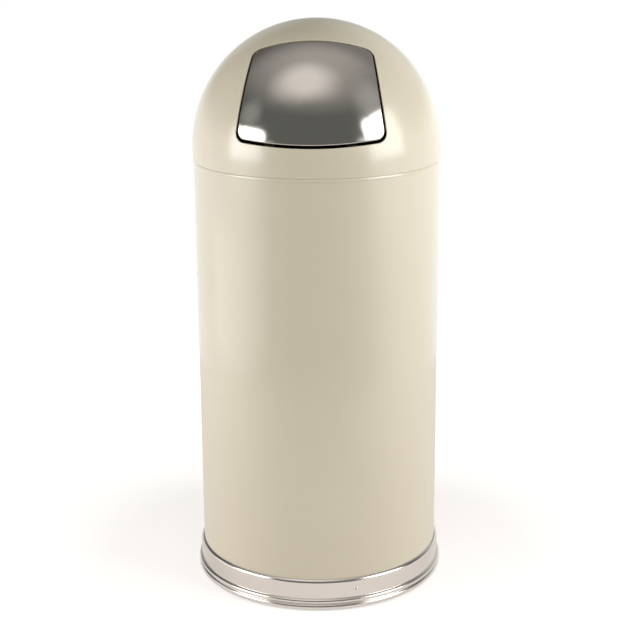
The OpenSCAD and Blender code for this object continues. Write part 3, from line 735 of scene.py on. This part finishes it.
def pan_profile(m):
    """Closed profile of the bottom pan, with its stiffening ring and its flange turned down"""
    body = m.body
    outer = m.body_r - body.wall - body.weld_gap
    flange = body.gasket + body.seat_gap
    bend = (outer - body.pan_bend, body.pan_height - body.pan_bend)
    half, steps = body.pan_groove_width / 2, 16
    top = [(0, body.pan_height)]
    for i in range(steps + 1):
        x = 2 * i / steps - 1
        sink = body.pan_groove_depth * swell(x, 0.8)
        top.append((body.pan_groove + half * x, body.pan_height - sink))
    under = [(r, z - body.pan_wall) for r, z in top]
    return (
        top + arc(bend, body.pan_bend, 90, 0, 8) + [(outer, flange), (outer - body.pan_wall, flange)]
        + arc(bend, body.pan_bend - body.pan_wall, 0, 90, 8) + under[::-1]
    )


def touching(a, ra, b, rb, rc):
    """Centre of a circle of radius rc that touches circles a and b, on the left of the way from a to b"""
    a, b = Vector(a), Vector(b)
    d = (b - a).length
    u = (b - a) / d
    p, q = ra + rc, rb + rc
    along = (d * d + p * p - q * q) / (2 * d)
    return a + u * along + Vector((-u[1], u[0])) * math.sqrt(p * p - along * along)


def ring_face(m, t):
    """One face of the base ring's profile, from the bevel at its top to the lip at its foot, set in by t"""
    ring, band = m.ring, m.band_r
    bevel = (band - ring.bevel, ring.height - ring.bevel * math.sin(math.radians(m.bevel_turn)))
    shoulder = (band, ring.shoulder_height)
    lip = (band - ring.wall, ring.lip_clear + ring.lip)
    lip_inner = m.body_r + m.body.gasket_wall + m.body.seat_gap
    lip_end = -math.degrees(math.acos((lip_inner - lip[0]) / ring.lip))
    cove = (band + ring.cove, shoulder[1] + math.sqrt((ring.shoulder + ring.cove) ** 2 - ring.cove**2))
    crease_r = ring.wall
    crease = touching(shoulder, ring.shoulder, lip, ring.lip, crease_r)
    return (
        arc(bevel, ring.bevel - t, m.bevel_turn, 0, 20)
        + arc(cove, ring.cove + t, 180, 360 + direction(cove, shoulder), 8)
        + arc(shoulder, ring.shoulder - t, direction(shoulder, cove), direction(shoulder, crease), 18)
        + arc(crease, crease_r + t, direction(crease, shoulder), 360 + direction(crease, lip), 8)
        + arc(lip, ring.lip - t, direction(lip, crease), lip_end, 24)
    )


def gasket_profile(m):
    """Channel that grips the shell's foot, its outer corners rounded as an extrusion's are"""
    wall, soft = m.body.gasket_wall, m.body.gasket_wall * 0.3
    inner = m.body_r - m.body.wall - wall
    outer = inner + m.body.wall + 2 * wall
    slot_in = inner + wall - m.body.weld_gap / 2
    slot_out = slot_in + m.body.wall + m.body.weld_gap
    top = m.body.gasket
    slot = [(slot_out, top), (slot_out, wall), (slot_in, wall), (slot_in, top)]
    return (
        arc((inner + soft, soft), soft, 180, 270, 4) + arc((outer - soft, soft), soft, 270, 360, 4)
        + arc((outer - soft, top - soft), soft, 0, 90, 4) + slot
        + arc((inner + soft, top - soft), soft, 90, 180, 4)
    )


def ring_rivets(m):
    """Domed rivets that hold the base ring, with a collar between the ring and the shell"""
    ring, gap = m.ring, m.body.weld_gap
    head, shank = ring.rivet_radius, ring.rivet_radius / 2
    # What easing leaves of the tail's end and of the head's width on the band
    eased, seated = 0.9, 0.97
    inner, outer = m.body_r - m.body.wall - gap, m.body_r + gap
    band_in, band_out = m.band_r - ring.wall - gap, m.band_r + gap
    tail = [(inner - ring.rivet_tail, head * eased), (inner - ring.rivet_tail * eased, head), (inner, head)]
    collar = [(inner, shank), (outer, shank), (outer, head), (band_in, head), (band_in, shank)]
    profile = tail + collar + [(band_out, shank), (band_out, head * seated)]
    # The dome's radius, its steps and the small flat that it ends in
    ball, steps, flat = head * 1.6, 9, head * 0.02
    for i in range(steps + 1):
        rise = ring.rivet_head * (1 - (1 - i / steps) ** 2)
        across = math.sqrt(max(ball**2 - (ball - ring.rivet_head + rise) ** 2, 0))
        profile.append((band_out + rise, max(min(across, head), flat)))
    piece = turned_about_x("base_ring_rivets_domed", profile)
    piece.data.transform(Matrix.Translation((0, 0, ring.rivet_height)))
    return ring_of(piece, ring.rivets, ring.rivet_turn - math.pi / 2, finish_of("bright_ring"))


# ---------------------------------------------------------------- dome and door

# Steps round a quarter turn of an edge that shows and of one inside, and rows from the opening to the equator
EDGE_STEPS, INNER_STEPS, DOME_ROWS = 8, 3, 56
# How far the skirt's lower edge is eased, outside and inside
SKIRT_EASE, SKIRT_EASE_IN = 0.0004, 0.0003


def outline(m, sill, side, head, arcs=26, corners=10, sides=18):
    """Points round the opening, from the middle of the sill, drawn in by the given gaps"""
    dome, lean = m.dome, m.dome.lean
    across, up = Vector((math.cos(lean), math.sin(lean))), Vector((-math.sin(lean), math.cos(lean)))
    corner = dome.corner - side
    reach = dome.opening_width / 2 * math.cos(lean) - side - corner
    low, high = Vector((0, m.sill_c)), Vector((0, m.head_c))
    low_r, high_r = dome.sill - sill, dome.head - head

    def corner_centre(centre, radius, sense):
        """Centre of the arc that touches the side and the sill's or the head's curve"""
        rise = math.sqrt((radius - corner) ** 2 - (reach - across.dot(centre)) ** 2)
        return across * reach + up * (up.dot(centre) + sense * rise)

    foot, top = corner_centre(low, low_r, -1), corner_centre(high, high_r, 1)
    low_turn, side_turn, high_turn = direction(low, foot), math.degrees(lean), direction(high, top)
    jamb = [foot + across * corner, top + across * corner]
    half = (
        arc(low, low_r, -90, low_turn, arcs) + arc(foot, corner, low_turn, side_turn, corners)[1:]
        + [tuple(jamb[0].lerp(jamb[1], i / sides)) for i in range(1, sides)]
        + arc(top, corner, side_turn, high_turn, corners) + arc(high, high_r, high_turn, 90, arcs)[1:]
    )
    return half + [(-x, w) for x, w in half[-2:0:-1]]


def inner_bend(outer, wall):
    """Radius inside a pressed bend, a little fuller than its outer radius less the wall"""
    return outer - wall * 0.6


def placed(m, x, w, s):
    """Point x across, w up the opening's plane and s out along its axis, from the dome's centre"""
    tilt = m.dome.tilt
    return Vector((
        x, w * math.sin(tilt) - s * math.cos(tilt), m.dome_z + w * math.cos(tilt) + s * math.sin(tilt),
    ))


def on_ball(m, points, radius):
    """Points of the opening's plane put out on a ball about the dome's centre"""
    return [placed(m, x, w, math.sqrt(radius**2 - x * x - w * w)) for x, w in points]


def to_equator(m, ring, radius, steps):
    """Rings that run over the ball from a ring round the opening to the dome's equator"""
    centre = Vector((0, 0, m.dome_z))
    axis = Vector((0, -math.cos(m.dome.tilt), math.sin(m.dome.tilt)))
    rows = [[] for _ in range(steps)]
    for p in ring:
        out = (p - centre).normalized()
        near = math.acos(out.dot(axis))
        side = (out - axis * math.cos(near)).normalized()
        far = math.atan2(axis.z, -side.z)
        for i in range(steps):
            a = near + (far - near) * (i + 1) / steps
            rows[i].append(centre + radius * (axis * math.cos(a) + side * math.sin(a)))
    return rows


class RECEPTACLE_OT_dome(bpy.types.Operator):
    """Make the spun dome with its punched opening, the opening's returned lip, and the skirt"""

    bl_idname = "receptacle.dome"
    bl_label = "Dome"

    def execute(self, context):
        m = measure(context.scene)
        dome, inner_r = m.dome, m.dome_r - m.dome.wall
        outer = self.edge(m, 0, dome.edge, m.dome_r, EDGE_STEPS)
        outer += to_equator(m, outer[-1], m.dome_r, DOME_ROWS)
        outer += self.skirt(outer[-1], m.skirt_z, m.dome_r, SKIRT_EASE)
        lip = [on_ball(m, outline(m, *[-out] * 3), m.dome_r - dome.lip) for out in (0, dome.wall)]
        inner = self.edge(m, dome.wall, inner_bend(dome.edge, dome.wall), inner_r, INNER_STEPS)
        inner += to_equator(m, inner[-1], inner_r, DOME_ROWS)
        inner += self.skirt(inner[-1], m.skirt_z, inner_r, -SKIRT_EASE_IN)
        piece = skin("dome_enamelled", outer + (lip + inner)[::-1], looped=True)
        hand_over(dress(piece, finish_of("enamel"), SOFT_CREASE), "dome", "enamel", "dome_shell")
        return {"FINISHED"}

    @staticmethod
    def edge(m, out, bend, radius, steps):
        """Rings round the bend from the opening's lip to a ball of the given radius"""
        made = []
        for i in range(steps + 1):
            a = math.pi / 2 * i / steps
            drawn = outline(m, *[-out - bend * (1 - math.cos(a))] * 3)
            made.append(on_ball(m, drawn, radius - bend * (1 - math.sin(a))))
        return made

    @staticmethod
    def skirt(equator, foot, radius, ease):
        """Rings down the straight skirt, its lower edge eased in, or out where the ease is negative"""
        made = []
        for z, reach in ((foot + abs(ease), radius), (foot, radius - ease)):
            made.append([Vector((p.x, p.y, 0)).normalized() * reach + Vector((0, 0, z)) for p in equator])
        return made


class RECEPTACLE_OT_door(bpy.types.Operator):
    """Make the push door, part of the dome's own ball with a returned hem, and its fittings"""

    bl_idname = "receptacle.door"
    bl_label = "Push door"

    def execute(self, context):
        m = measure(context.scene)
        door, edge, gaps = m.door, m.dome.edge, (m.door.sill_gap, m.door.side_gap, m.door.head_gap)

        def rim(inset, depth, share=1.0):
            """Ring that follows the door's edge, drawn in by the inset or to a share of its size"""
            drawn = outline(m, *[g + inset for g in gaps])
            return on_ball(m, [(x * share, w * share) for x, w in drawn], m.dome_r - depth)

        def panel(inset, depth, rows=36):
            """Rings from near the door's middle out to its edge"""
            return [rim(inset, depth, i / rows) for i in range(1, rows)]

        def bend(wall, radius, turns):
            """Rings round the bend between the panel and the hem"""
            return [rim(wall + radius * (1 - math.sin(a)), wall + radius * (1 - math.cos(a))) for a in turns]

        turns = [math.pi / 2 * i / EDGE_STEPS for i in range(EDGE_STEPS + 1)]
        inner = inner_bend(edge, door.wall)
        rings = panel(edge, 0) + bend(0, edge, turns) + [rim(0, door.hem), rim(door.wall, door.hem)]
        rings += bend(door.wall, inner, turns[::-2]) + panel(door.wall + inner, door.wall)[::-1]
        poles = [on_ball(m, [(0, 0)], m.dome_r - depth)[0] for depth in (0, door.wall)]
        piece = skin("push_door_polished", rings, *poles)
        hand_over(dress(piece, finish_of("polished_door"), SOFT_CREASE), "door", "polished_door", "push_door")
        refine("door", "zinc_plate", "door_lug_left", "door_lug_right", "stop_tab_left", "stop_tab_right")
        refine("door", "vinyl", "door_bumpers")
        return {"FINISHED"}


class RECEPTACLE_OT_hinge(bpy.types.Operator):
    """Make the door's pivot rod, its brackets and clips, and the torsion spring that shuts it"""

    bl_idname = "receptacle.hinge"
    bl_label = "Door hinge"

    def execute(self, context):
        m = measure(context.scene)
        refine("dome", "zinc_plate", "hinge_bracket_left", "hinge_bracket_right")
        refine("dome", "rod_steel", "rod_clips")
        centre = placed(m, 0, m.hinge_w, m.hinge_s)
        half, rounded = m.door.rod_half, 0.0006
        path = [(x, centre.y, centre.z) for x in (rounded - half, -half / 2, 0, half / 2, half - rounded)]
        pin = rod("hinge_rod_drawn", path, m.door.rod, 28)
        hand_over(dress(pin, finish_of("rod_steel")), "dome", "rod_steel", "hinge_rod")
        spring, reach = self.spring(m)
        dress(spring, finish_of("rod_steel"), SOFT_CREASE)
        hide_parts("door_spring")
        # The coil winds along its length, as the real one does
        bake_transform(spring)
        return {"FINISHED"}

    @staticmethod
    def spring(m):
        """The spring round the rod, its legs on the door and on the dome, and half its coil's length"""
        door = m.door
        pitch = 2 * door.wire + door.coil_gap
        reach = pitch * (door.turns + 0.5) / 2
        middle = Vector((m.hinge_w, m.hinge_s))
        ends = []
        for w, wall in ((m.hinge_w - door.leg, door.wall), (m.hinge_w + door.leg, m.dome.wall)):
            ball = m.dome_r - wall - m.body.seat_gap - door.wire
            ends.append(Vector((w, math.sqrt(ball**2 - reach**2 - w**2))))

        def leaves(p, sense):
            """Angle at which a straight leg to p leaves the coil"""
            way = p - middle
            return math.atan2(way.y, way.x) + sense * math.acos(door.coil / way.length)

        start, finish = leaves(ends[0], 1), leaves(ends[1], -1)
        sweep = math.tau * door.turns + (finish - start) + (math.tau if finish < start else 0)
        facet, leg_steps = math.radians(12), (0, 0.3, 0.6, 0.9)
        steps = math.ceil(sweep / facet)
        coil = []
        for i in range(steps + 1):
            a = start + sweep * i / steps
            w, s = m.hinge_w + door.coil * math.cos(a), m.hinge_s + door.coil * math.sin(a)
            coil.append(placed(m, -reach + 2 * reach * i / steps, w, s))
        tips = [placed(m, -reach, *ends[0]), placed(m, reach, *ends[1])]
        path = [tips[0].lerp(coil[0], share) for share in leg_steps] + coil
        path += [tips[1].lerp(coil[-1], share) for share in leg_steps[::-1]]
        return rod("door_spring_wound", path, door.wire, 12), reach


# ---------------------------------------------------------------- liner and bail


class RECEPTACLE_OT_liner(bpy.types.Operator):
    """Make the galvanised liner with its rolled rim, swaged beads, bottom, ears and rivets"""

    bl_idname = "receptacle.liner"
    bl_label = "Liner"

    def execute(self, context):
        m = measure(context.scene)
        liner, sheet, wire = m.liner, finish_of("galvanised"), finish_of("rod_steel")
        roll_end, roll_steps = -120, 28
        inside = arc(m.roll, liner.roll - liner.wall, 180, roll_end, roll_steps)
        outside = arc(m.roll, liner.roll, roll_end, 180, roll_steps)
        wall_profile = self.face(m, liner.wall)[::-1] + self.face(m, 0) + inside + outside
        wall = turned_piece("liner_wall_galvanised", wall_profile, sheet)
        hand_over(wall, "liner", "galvanised", "liner_wall")
        # Twenty-four points round the wire inside the roll, the last one short of the first
        core = arc(m.roll, liner.roll - liner.wall - m.body.weld_gap, 0, 345, 23)
        hand_over(turned_piece("rim_wire_drawn", core, wire, INNER_ROUND), "liner", "rod_steel", "rim_wire")
        bottom = turned_piece("liner_bottom_galvanised", self.bottom(m), sheet, INNER_ROUND)
        hand_over(bottom, "liner", "galvanised", "liner_bottom")
        refine("liner", "galvanised", "liner_ear_left", "liner_ear_right")
        hand_over(self.rivets(m, wire), "liner", "rod_steel", "ear_rivets")
        return {"FINISHED"}

    @staticmethod
    def face(m, t):
        """One face of the liner's wall from its foot to under the roll, with two swaged beads"""
        liner, half, steps = m.liner, m.liner.bead / 2, 16
        points = [(m.liner_r - t, m.liner_foot)]
        for middle in (liner.lower_bead, m.liner_top - liner.upper_bead):
            for i in range(steps + 1):
                x = 2 * i / steps - 1
                points.append((m.liner_r - t + liner.bead_out * swell(x, 0.7), middle + half * x))
        return points

    @staticmethod
    def bottom(m):
        """Closed profile of the liner's bottom, its flange turned down inside the wall"""
        liner, bend = m.liner, 0.0025
        outer = m.liner_r - liner.wall - m.body.weld_gap
        top = m.liner_foot + liner.lift
        centre = (outer - bend, top - bend)
        return (
            [(0, top)] + arc(centre, bend, 90, 0, 8)
            + [(outer, top - liner.flange), (outer - liner.wall, top - liner.flange)]
            + arc(centre, bend - liner.wall, 0, 90, 8) + [(0, top - liner.wall)]
        )

    @staticmethod
    def rivets(m, finish):
        """The two rivets of one ear, copied to the other ear"""
        liner, gap = m.liner, m.body.seat_gap
        shank, head, height = liner.ear_rivet, liner.ear_rivet * 1.8, 0.001
        inner, outer = m.liner_r - liner.wall - gap, m.ear_r + liner.ear_wall + gap
        # Height over the seat and width of a head's rings, as shares of the head's own
        shape = ((0, 1), (0.3, 1), (0.7, 0.85), (1, 0.5))
        profile = [(inner - height * up, head * wide) for up, wide in shape[::-1]]
        profile += [(inner, shank), (outer, shank)]
        profile += [(outer + height * up, head * wide) for up, wide in shape]
        # A rivet's place on its ear, as shares of the ear's width from its middle and of its height
        aside, below = 0.36, 0.32
        pair = bmesh.new()
        for side in (-1, 1):
            one = turned_about_x("ear_rivet", profile, 20)
            turned = Matrix.Rotation(side * aside * liner.ear_turn, 4, "Z")
            one.data.transform(turned @ Matrix.Translation((0, 0, m.pivot_z - liner.ear_height * below)))
            pair.from_mesh(one.data)
            bpy.data.meshes.remove(one.data)
        mesh = bpy.data.meshes.new("ear_rivets_set")
        pair.to_mesh(mesh)
        pair.free()
        return ring_of(new_piece("ear_rivets_set", mesh), 2, 0.0, finish)


class RECEPTACLE_OT_bail(bpy.types.Operator):
    """Make the wire bail, bent in at both ends into the liner's ears"""

    bl_idname = "receptacle.bail"
    bl_label = "Bail"

    def execute(self, context):
        m = measure(context.scene)
        liner = m.liner
        elbow, pin, step = m.bail_r - liner.bend, m.ear_r + liner.ear_wall / 2, 0.0005
        side = [(pin + step, 0), (pin + 2 * step, 0), (elbow - step, 0)]
        side += arc((elbow, liner.bend), liner.bend, -90, 0, 12)
        half = side + arc((0, liner.bend), m.bail_r, 0, 90, 60)[1:]
        flat = half + [(-x, y) for x, y in half[-2::-1]]
        hang = Matrix.Translation((0, 0, m.pivot_z)) @ Matrix.Rotation(-m.bail_hang, 4, "X")
        piece = rod("bail_handle_bent", [hang @ Vector((x, y, 0)) for x, y in flat], liner.wire, 20)
        hand_over(dress(piece, finish_of("rod_steel"), SOFT_CREASE), "bail", "rod_steel", "bail_handle")
        return {"FINISHED"}


# ---------------------------------------------------------------- stage

# Pools of light in the room's reflection: degrees round from the front to the right, degrees up, the pool's
# inner and outer radius in degrees, its strength, and how far it is drawn out sideways
POOLS = (
    (-22, 65, 5, 25, 0.6, 0.7), (-8, 54, 2, 13, 0.09, 0.35), (-68, 26, 3, 15, 0.22, 1.0),
    (70, 33, 4, 26, 0.32, 1.0), (155, 20, 5, 44, 0.5, 1.0), (-160, 18, 4, 18, 0.35, 1.0),
    (45, 5, 2, 9, 1.1, 1.0), (-40, 3, 2, 8, 0.5, 1.0),
)
# Light from the room near the floor and from the ceiling lamps
ROOM_TINT, CEILING_TINT, WHITE = (0.98, 1.02, 0.95, 1), (1.0, 0.965, 0.91, 1), (1, 1, 1, 1)

# Name, degrees round from the front to the right, height of the middle, distance, width, height, tilt in
# its own plane, and radiance
SOFTBOXES = (
    ("softbox_right", 65.5, 1.04, 1.76, 1.27, 1.22, 7, 4.85),
    ("softbox_left", -61.5, 0.81, 1.76, 1.2, 0.84, 0, 5.0),
    ("softbox_low", -72, 0.2, 1.15, 1.5, 0.36, 0, 0.75),
)
# The floor's own light for the lens near the piece and far from it, where it starts and stops growing, in
# metres from the middle, and its light in reflections
FLOOR_NEAR, FLOOR_FAR, GROWS_FROM, GROWS_TO, FLOOR_MIRRORED = 0.5, 1.0, 0.35, 1.1, 0.5
# The floor's radius and the number of its sides
FLOOR_REACH, FLOOR_SIDES = 1.2, 96
# Where a softbox's cloth starts to fade, out of 0.5 from its middle, and its glow there and at its edge
CLOTH_LIT, CLOTH_GLOW, CLOTH_EDGE = 0.32, 1.1, 0.25


def studio_world():
    """White paper low down at the sides and behind, a dim room in front, and a warm ceiling with a glow"""
    world = bpy.data.worlds.new("Studio")
    world.use_nodes = True
    tree = world.node_tree
    tree.nodes.clear()
    way = add(tree, "ShaderNodeTexCoord").outputs["Generated"]
    part = add(tree, "ShaderNodeSeparateXYZ", {0: way}).outputs

    def between(value, start, end, first, last, blend="SMOOTHSTEP"):
        """First up to the start, last from the end on, and a blend between them"""
        limits = {"Value": value, "From Min": start, "From Max": end, "To Min": first, "To Max": last}
        return add(tree, "ShaderNodeMapRange", limits, interpolation_type=blend).outputs[0]

    def pool(turned, raised, inner, outer, strength, squeeze):
        """Soft pool of light about one direction"""
        a, e = math.radians(turned), math.radians(raised)
        centre = (squeeze * math.sin(a) * math.cos(e), -math.cos(a) * math.cos(e), math.sin(e))
        drawn = add(tree, "ShaderNodeVectorMath", {0: way, 1: (squeeze, 1.0, 1.0)}, operation="MULTIPLY")
        off = add(tree, "ShaderNodeVectorMath", {0: drawn.outputs[0], 1: centre}, operation="DISTANCE")
        return between(off.outputs["Value"], math.radians(inner), math.radians(outer), strength, 0.0)

    def mixed(share, first, second):
        """Colour between two others"""
        # Inputs 6 and 7 and output 2 are the node's colours
        return add(tree, "ShaderNodeMix", {0: share, 6: first, 7: second}, data_type="RGBA").outputs[2]

    # Z is the sine of a direction's height, and Y runs from -1 in front of the piece to 1 behind it
    above = between(part["Z"], 0.55, 1.0, 0.18, 0.6, "LINEAR")
    ceiling = combined(tree, "MULTIPLY", above, between(part["Y"], 0.1, 0.6, 1.0, 0.45))
    beside = between(part["Y"], -0.8, -0.2, 0.0, 1.0)
    paper = combined(tree, "MULTIPLY", beside, between(part["Z"], -0.03, 0.26, 1.0, 0.15))
    lit = combined(tree, "MAXIMUM", ceiling, paper)
    for numbers in POOLS:
        lit = combined(tree, "ADD", lit, pool(*numbers))
    lens = add(tree, "ShaderNodeLightPath").outputs["Is Camera Ray"]
    lamplit = mixed(between(part["Z"], 0.5, 0.8, 0.0, 1.0), ROOM_TINT, CEILING_TINT)
    light = add(tree, "ShaderNodeBackground", {
        "Color": mixed(combined(tree, "MAXIMUM", lens, paper), lamplit, WHITE),
        "Strength": combined(tree, "MAXIMUM", lens, lit),
    })
    add(tree, "ShaderNodeOutputWorld", {"Surface": light.outputs[0]})
    return world


def pale_floor():
    """Matt sweep, burnt out to white for the lens and lifted in reflections: it keeps a faint shadow"""
    material, tree, shader = blank_finish("Matt pale studio floor")
    tone = tones().floor
    shader.inputs["Base Color"].default_value = (*tone, 1)
    shader.inputs["Roughness"].default_value = 0.9
    shader.inputs["Specular IOR Level"].default_value = 0.0
    place = add(tree, "ShaderNodeTexCoord").outputs["Object"]
    away = add(tree, "ShaderNodeVectorMath", {0: place}, operation="LENGTH")
    burn = add(tree, "ShaderNodeMapRange", {
        "Value": away.outputs["Value"], "From Min": GROWS_FROM, "From Max": GROWS_TO,
        "To Min": FLOOR_NEAR, "To Max": FLOOR_FAR,
    })
    ray = add(tree, "ShaderNodeLightPath").outputs
    lens = combined(tree, "MULTIPLY", ray["Is Camera Ray"], burn.outputs[0])
    mirrored = combined(tree, "MAXIMUM", ray["Is Glossy Ray"], ray["Is Transmission Ray"])
    mirror = combined(tree, "MULTIPLY", mirrored, FLOOR_MIRRORED)
    for_lens = add(tree, "ShaderNodeEmission", {"Color": WHITE, "Strength": lens})
    for_mirror = add(tree, "ShaderNodeEmission", {"Color": (*tone, 1), "Strength": mirror})
    lifts = add(tree, "ShaderNodeAddShader", {0: for_lens.outputs[0], 1: for_mirror.outputs[0]})
    both = add(tree, "ShaderNodeAddShader", {0: shader.outputs[0], 1: lifts.outputs[0]})
    output = next(n for n in tree.nodes if n.type == "OUTPUT_MATERIAL")
    tree.links.new(both.outputs[0], output.inputs["Surface"])
    return material


class RECEPTACLE_OT_stage(bpy.types.Operator):
    """Set the pale floor, the three softboxes, the room and the camera"""

    bl_idname = "receptacle.stage"
    bl_label = "Stage"

    def execute(self, context):
        scene = context.scene
        rim = arc((0, 0), FLOOR_REACH, 0, 360, FLOOR_SIDES)[:-1]
        mesh = bpy.data.meshes.new("studio_floor")
        mesh.from_pydata([(x, y, 0) for x, y in rim], [], [tuple(range(FLOOR_SIDES))])
        floor = new_piece("studio_floor", mesh)
        mesh.materials.append(pale_floor())
        for numbers in SOFTBOXES:
            self.softbox(*numbers)
        scene.world = studio_world()
        scene.view_settings.view_transform = "Standard"
        scene.camera = self.camera()
        return {"FINISHED"}

    @staticmethod
    def softbox(name, turned, high, far, wide, tall, tilt, strength):
        """Upright area lamp that faces the axis and fades towards its edges, as cloth over a box does"""
        lamp = bpy.data.lights.new(name, "AREA")
        lamp.shape = "RECTANGLE"
        lamp.size, lamp.size_y = wide, tall
        # The radiance stays as given, whatever the size
        lamp.energy = strength * wide * tall * math.pi
        lamp.use_nodes = True
        tree = lamp.node_tree
        tree.nodes.clear()
        spot = add(tree, "ShaderNodeNewGeometry").outputs["Parametric"]
        across = add(tree, "ShaderNodeSeparateXYZ", {0: spot}).outputs
        glow = 1.0
        for side in ("X", "Y"):
            off = combined(tree, "ABSOLUTE", combined(tree, "SUBTRACT", across[side], 0.5))
            fade = add(tree, "ShaderNodeMapRange", {
                "Value": off, "From Min": CLOTH_LIT, "From Max": 0.5,
                "To Min": CLOTH_GLOW, "To Max": CLOTH_EDGE,
            }, interpolation_type="SMOOTHSTEP")
            glow = combined(tree, "MULTIPLY", glow, fade.outputs[0])
        cloth = add(tree, "ShaderNodeEmission", {"Strength": glow})
        add(tree, "ShaderNodeOutputLight", {0: cloth.outputs[0]})
        a = math.radians(turned)
        out = Vector((math.sin(a), -math.cos(a), 0))
        thing = bpy.data.objects.new(name, lamp)
        thing.location = out * far + Vector((0, 0, high))
        thing.rotation_mode = "QUATERNION"
        thing.rotation_quaternion = out.to_track_quat("Z", "Y") @ Quaternion((0, 0, 1), math.radians(tilt))
        thing.visible_camera = False
        bpy.context.scene.collection.objects.link(thing)

    @staticmethod
    def camera():
        """The photograph's own viewpoint, fitted to its outline, seam and base"""
        # Metres from the axis and above the floor, then degrees down, round to the right and about the view
        distance, height, pitch, turned, roll = 2.275636, 1.067814, 15.714, 3.1, -0.369
        # The photograph's width, the focal length and the column of the lens's axis, all in pixels
        pixels, focal, middle = 622, 1479.083, 317.85
        # The film's width in millimetres
        film = 36
        lens = bpy.data.cameras.new("Camera")
        lens.sensor_width = film
        lens.lens = film * focal / pixels
        lens.shift_x = (pixels / 2 - middle) / pixels
        lens.clip_end = 60
        a = math.radians(turned)
        view = bpy.data.objects.new("Camera", lens)
        view.matrix_world = (
            Matrix.Translation((distance * math.sin(a), -distance * math.cos(a), height))
            @ Matrix.Rotation(a, 4, "Z") @ Matrix.Rotation(math.radians(90 - pitch), 4, "X")
            @ Matrix.Rotation(math.radians(roll), 4, "Z")
        )
        bpy.context.scene.collection.objects.link(view)
        return view


# ---------------------------------------------------------------- panel and registration


class RECEPTACLE_PT_panel(bpy.types.Panel):
    """Lists the receptacle's pieces, its sizes and its finishes"""

    bl_idname = "RECEPTACLE_PT_panel"
    bl_label = "Waste receptacle"
    bl_space_type = "VIEW_3D"
    bl_region_type = "UI"
    bl_category = "Receptacle"

    def draw(self, context):
        for piece in PIECES:
            self.layout.operator(piece.bl_idname)
        for key in GROUPS:
            group = getattr(context.scene, key)
            box = self.layout.box()
            box.label(text=key.replace("receptacle_", "").capitalize())
            for name in group.bl_rna.properties.keys():
                if name not in ("rna_type", "name"):
                    box.prop(group, name)


PIECES = (
    RECEPTACLE_OT_body, RECEPTACLE_OT_base, RECEPTACLE_OT_dome, RECEPTACLE_OT_door, RECEPTACLE_OT_hinge,
    RECEPTACLE_OT_liner, RECEPTACLE_OT_bail, RECEPTACLE_OT_stage,
)
GROUPS = {
    "receptacle_body": BodySizes, "receptacle_ring": RingSizes, "receptacle_dome": DomeSizes,
    "receptacle_door": DoorSizes, "receptacle_liner": LinerSizes, "receptacle_finishes": Finishes,
}


def register():
    """Make the sizes, the pieces and the panel known to Blender"""
    for kind in (*GROUPS.values(), *PIECES, RECEPTACLE_PT_panel):
        bpy.utils.register_class(kind)
    for key, kind in GROUPS.items():
        setattr(bpy.types.Scene, key, PointerProperty(type=kind))


def unregister():
    """Take them out again, the last one first"""
    for key in GROUPS:
        delattr(bpy.types.Scene, key)
    for kind in (RECEPTACLE_PT_panel, *PIECES[::-1], *list(GROUPS.values())[::-1]):
        bpy.utils.unregister_class(kind)


def main():
    """Build the stage and the pieces"""
    register()
    bpy.ops.receptacle.stage()
    bpy.ops.receptacle.body()
    bpy.ops.receptacle.base()
    bpy.ops.receptacle.dome()
    bpy.ops.receptacle.door()
    bpy.ops.receptacle.hinge()
    bpy.ops.receptacle.liner()
    bpy.ops.receptacle.bail()


if __name__ == "__main__":
    main()
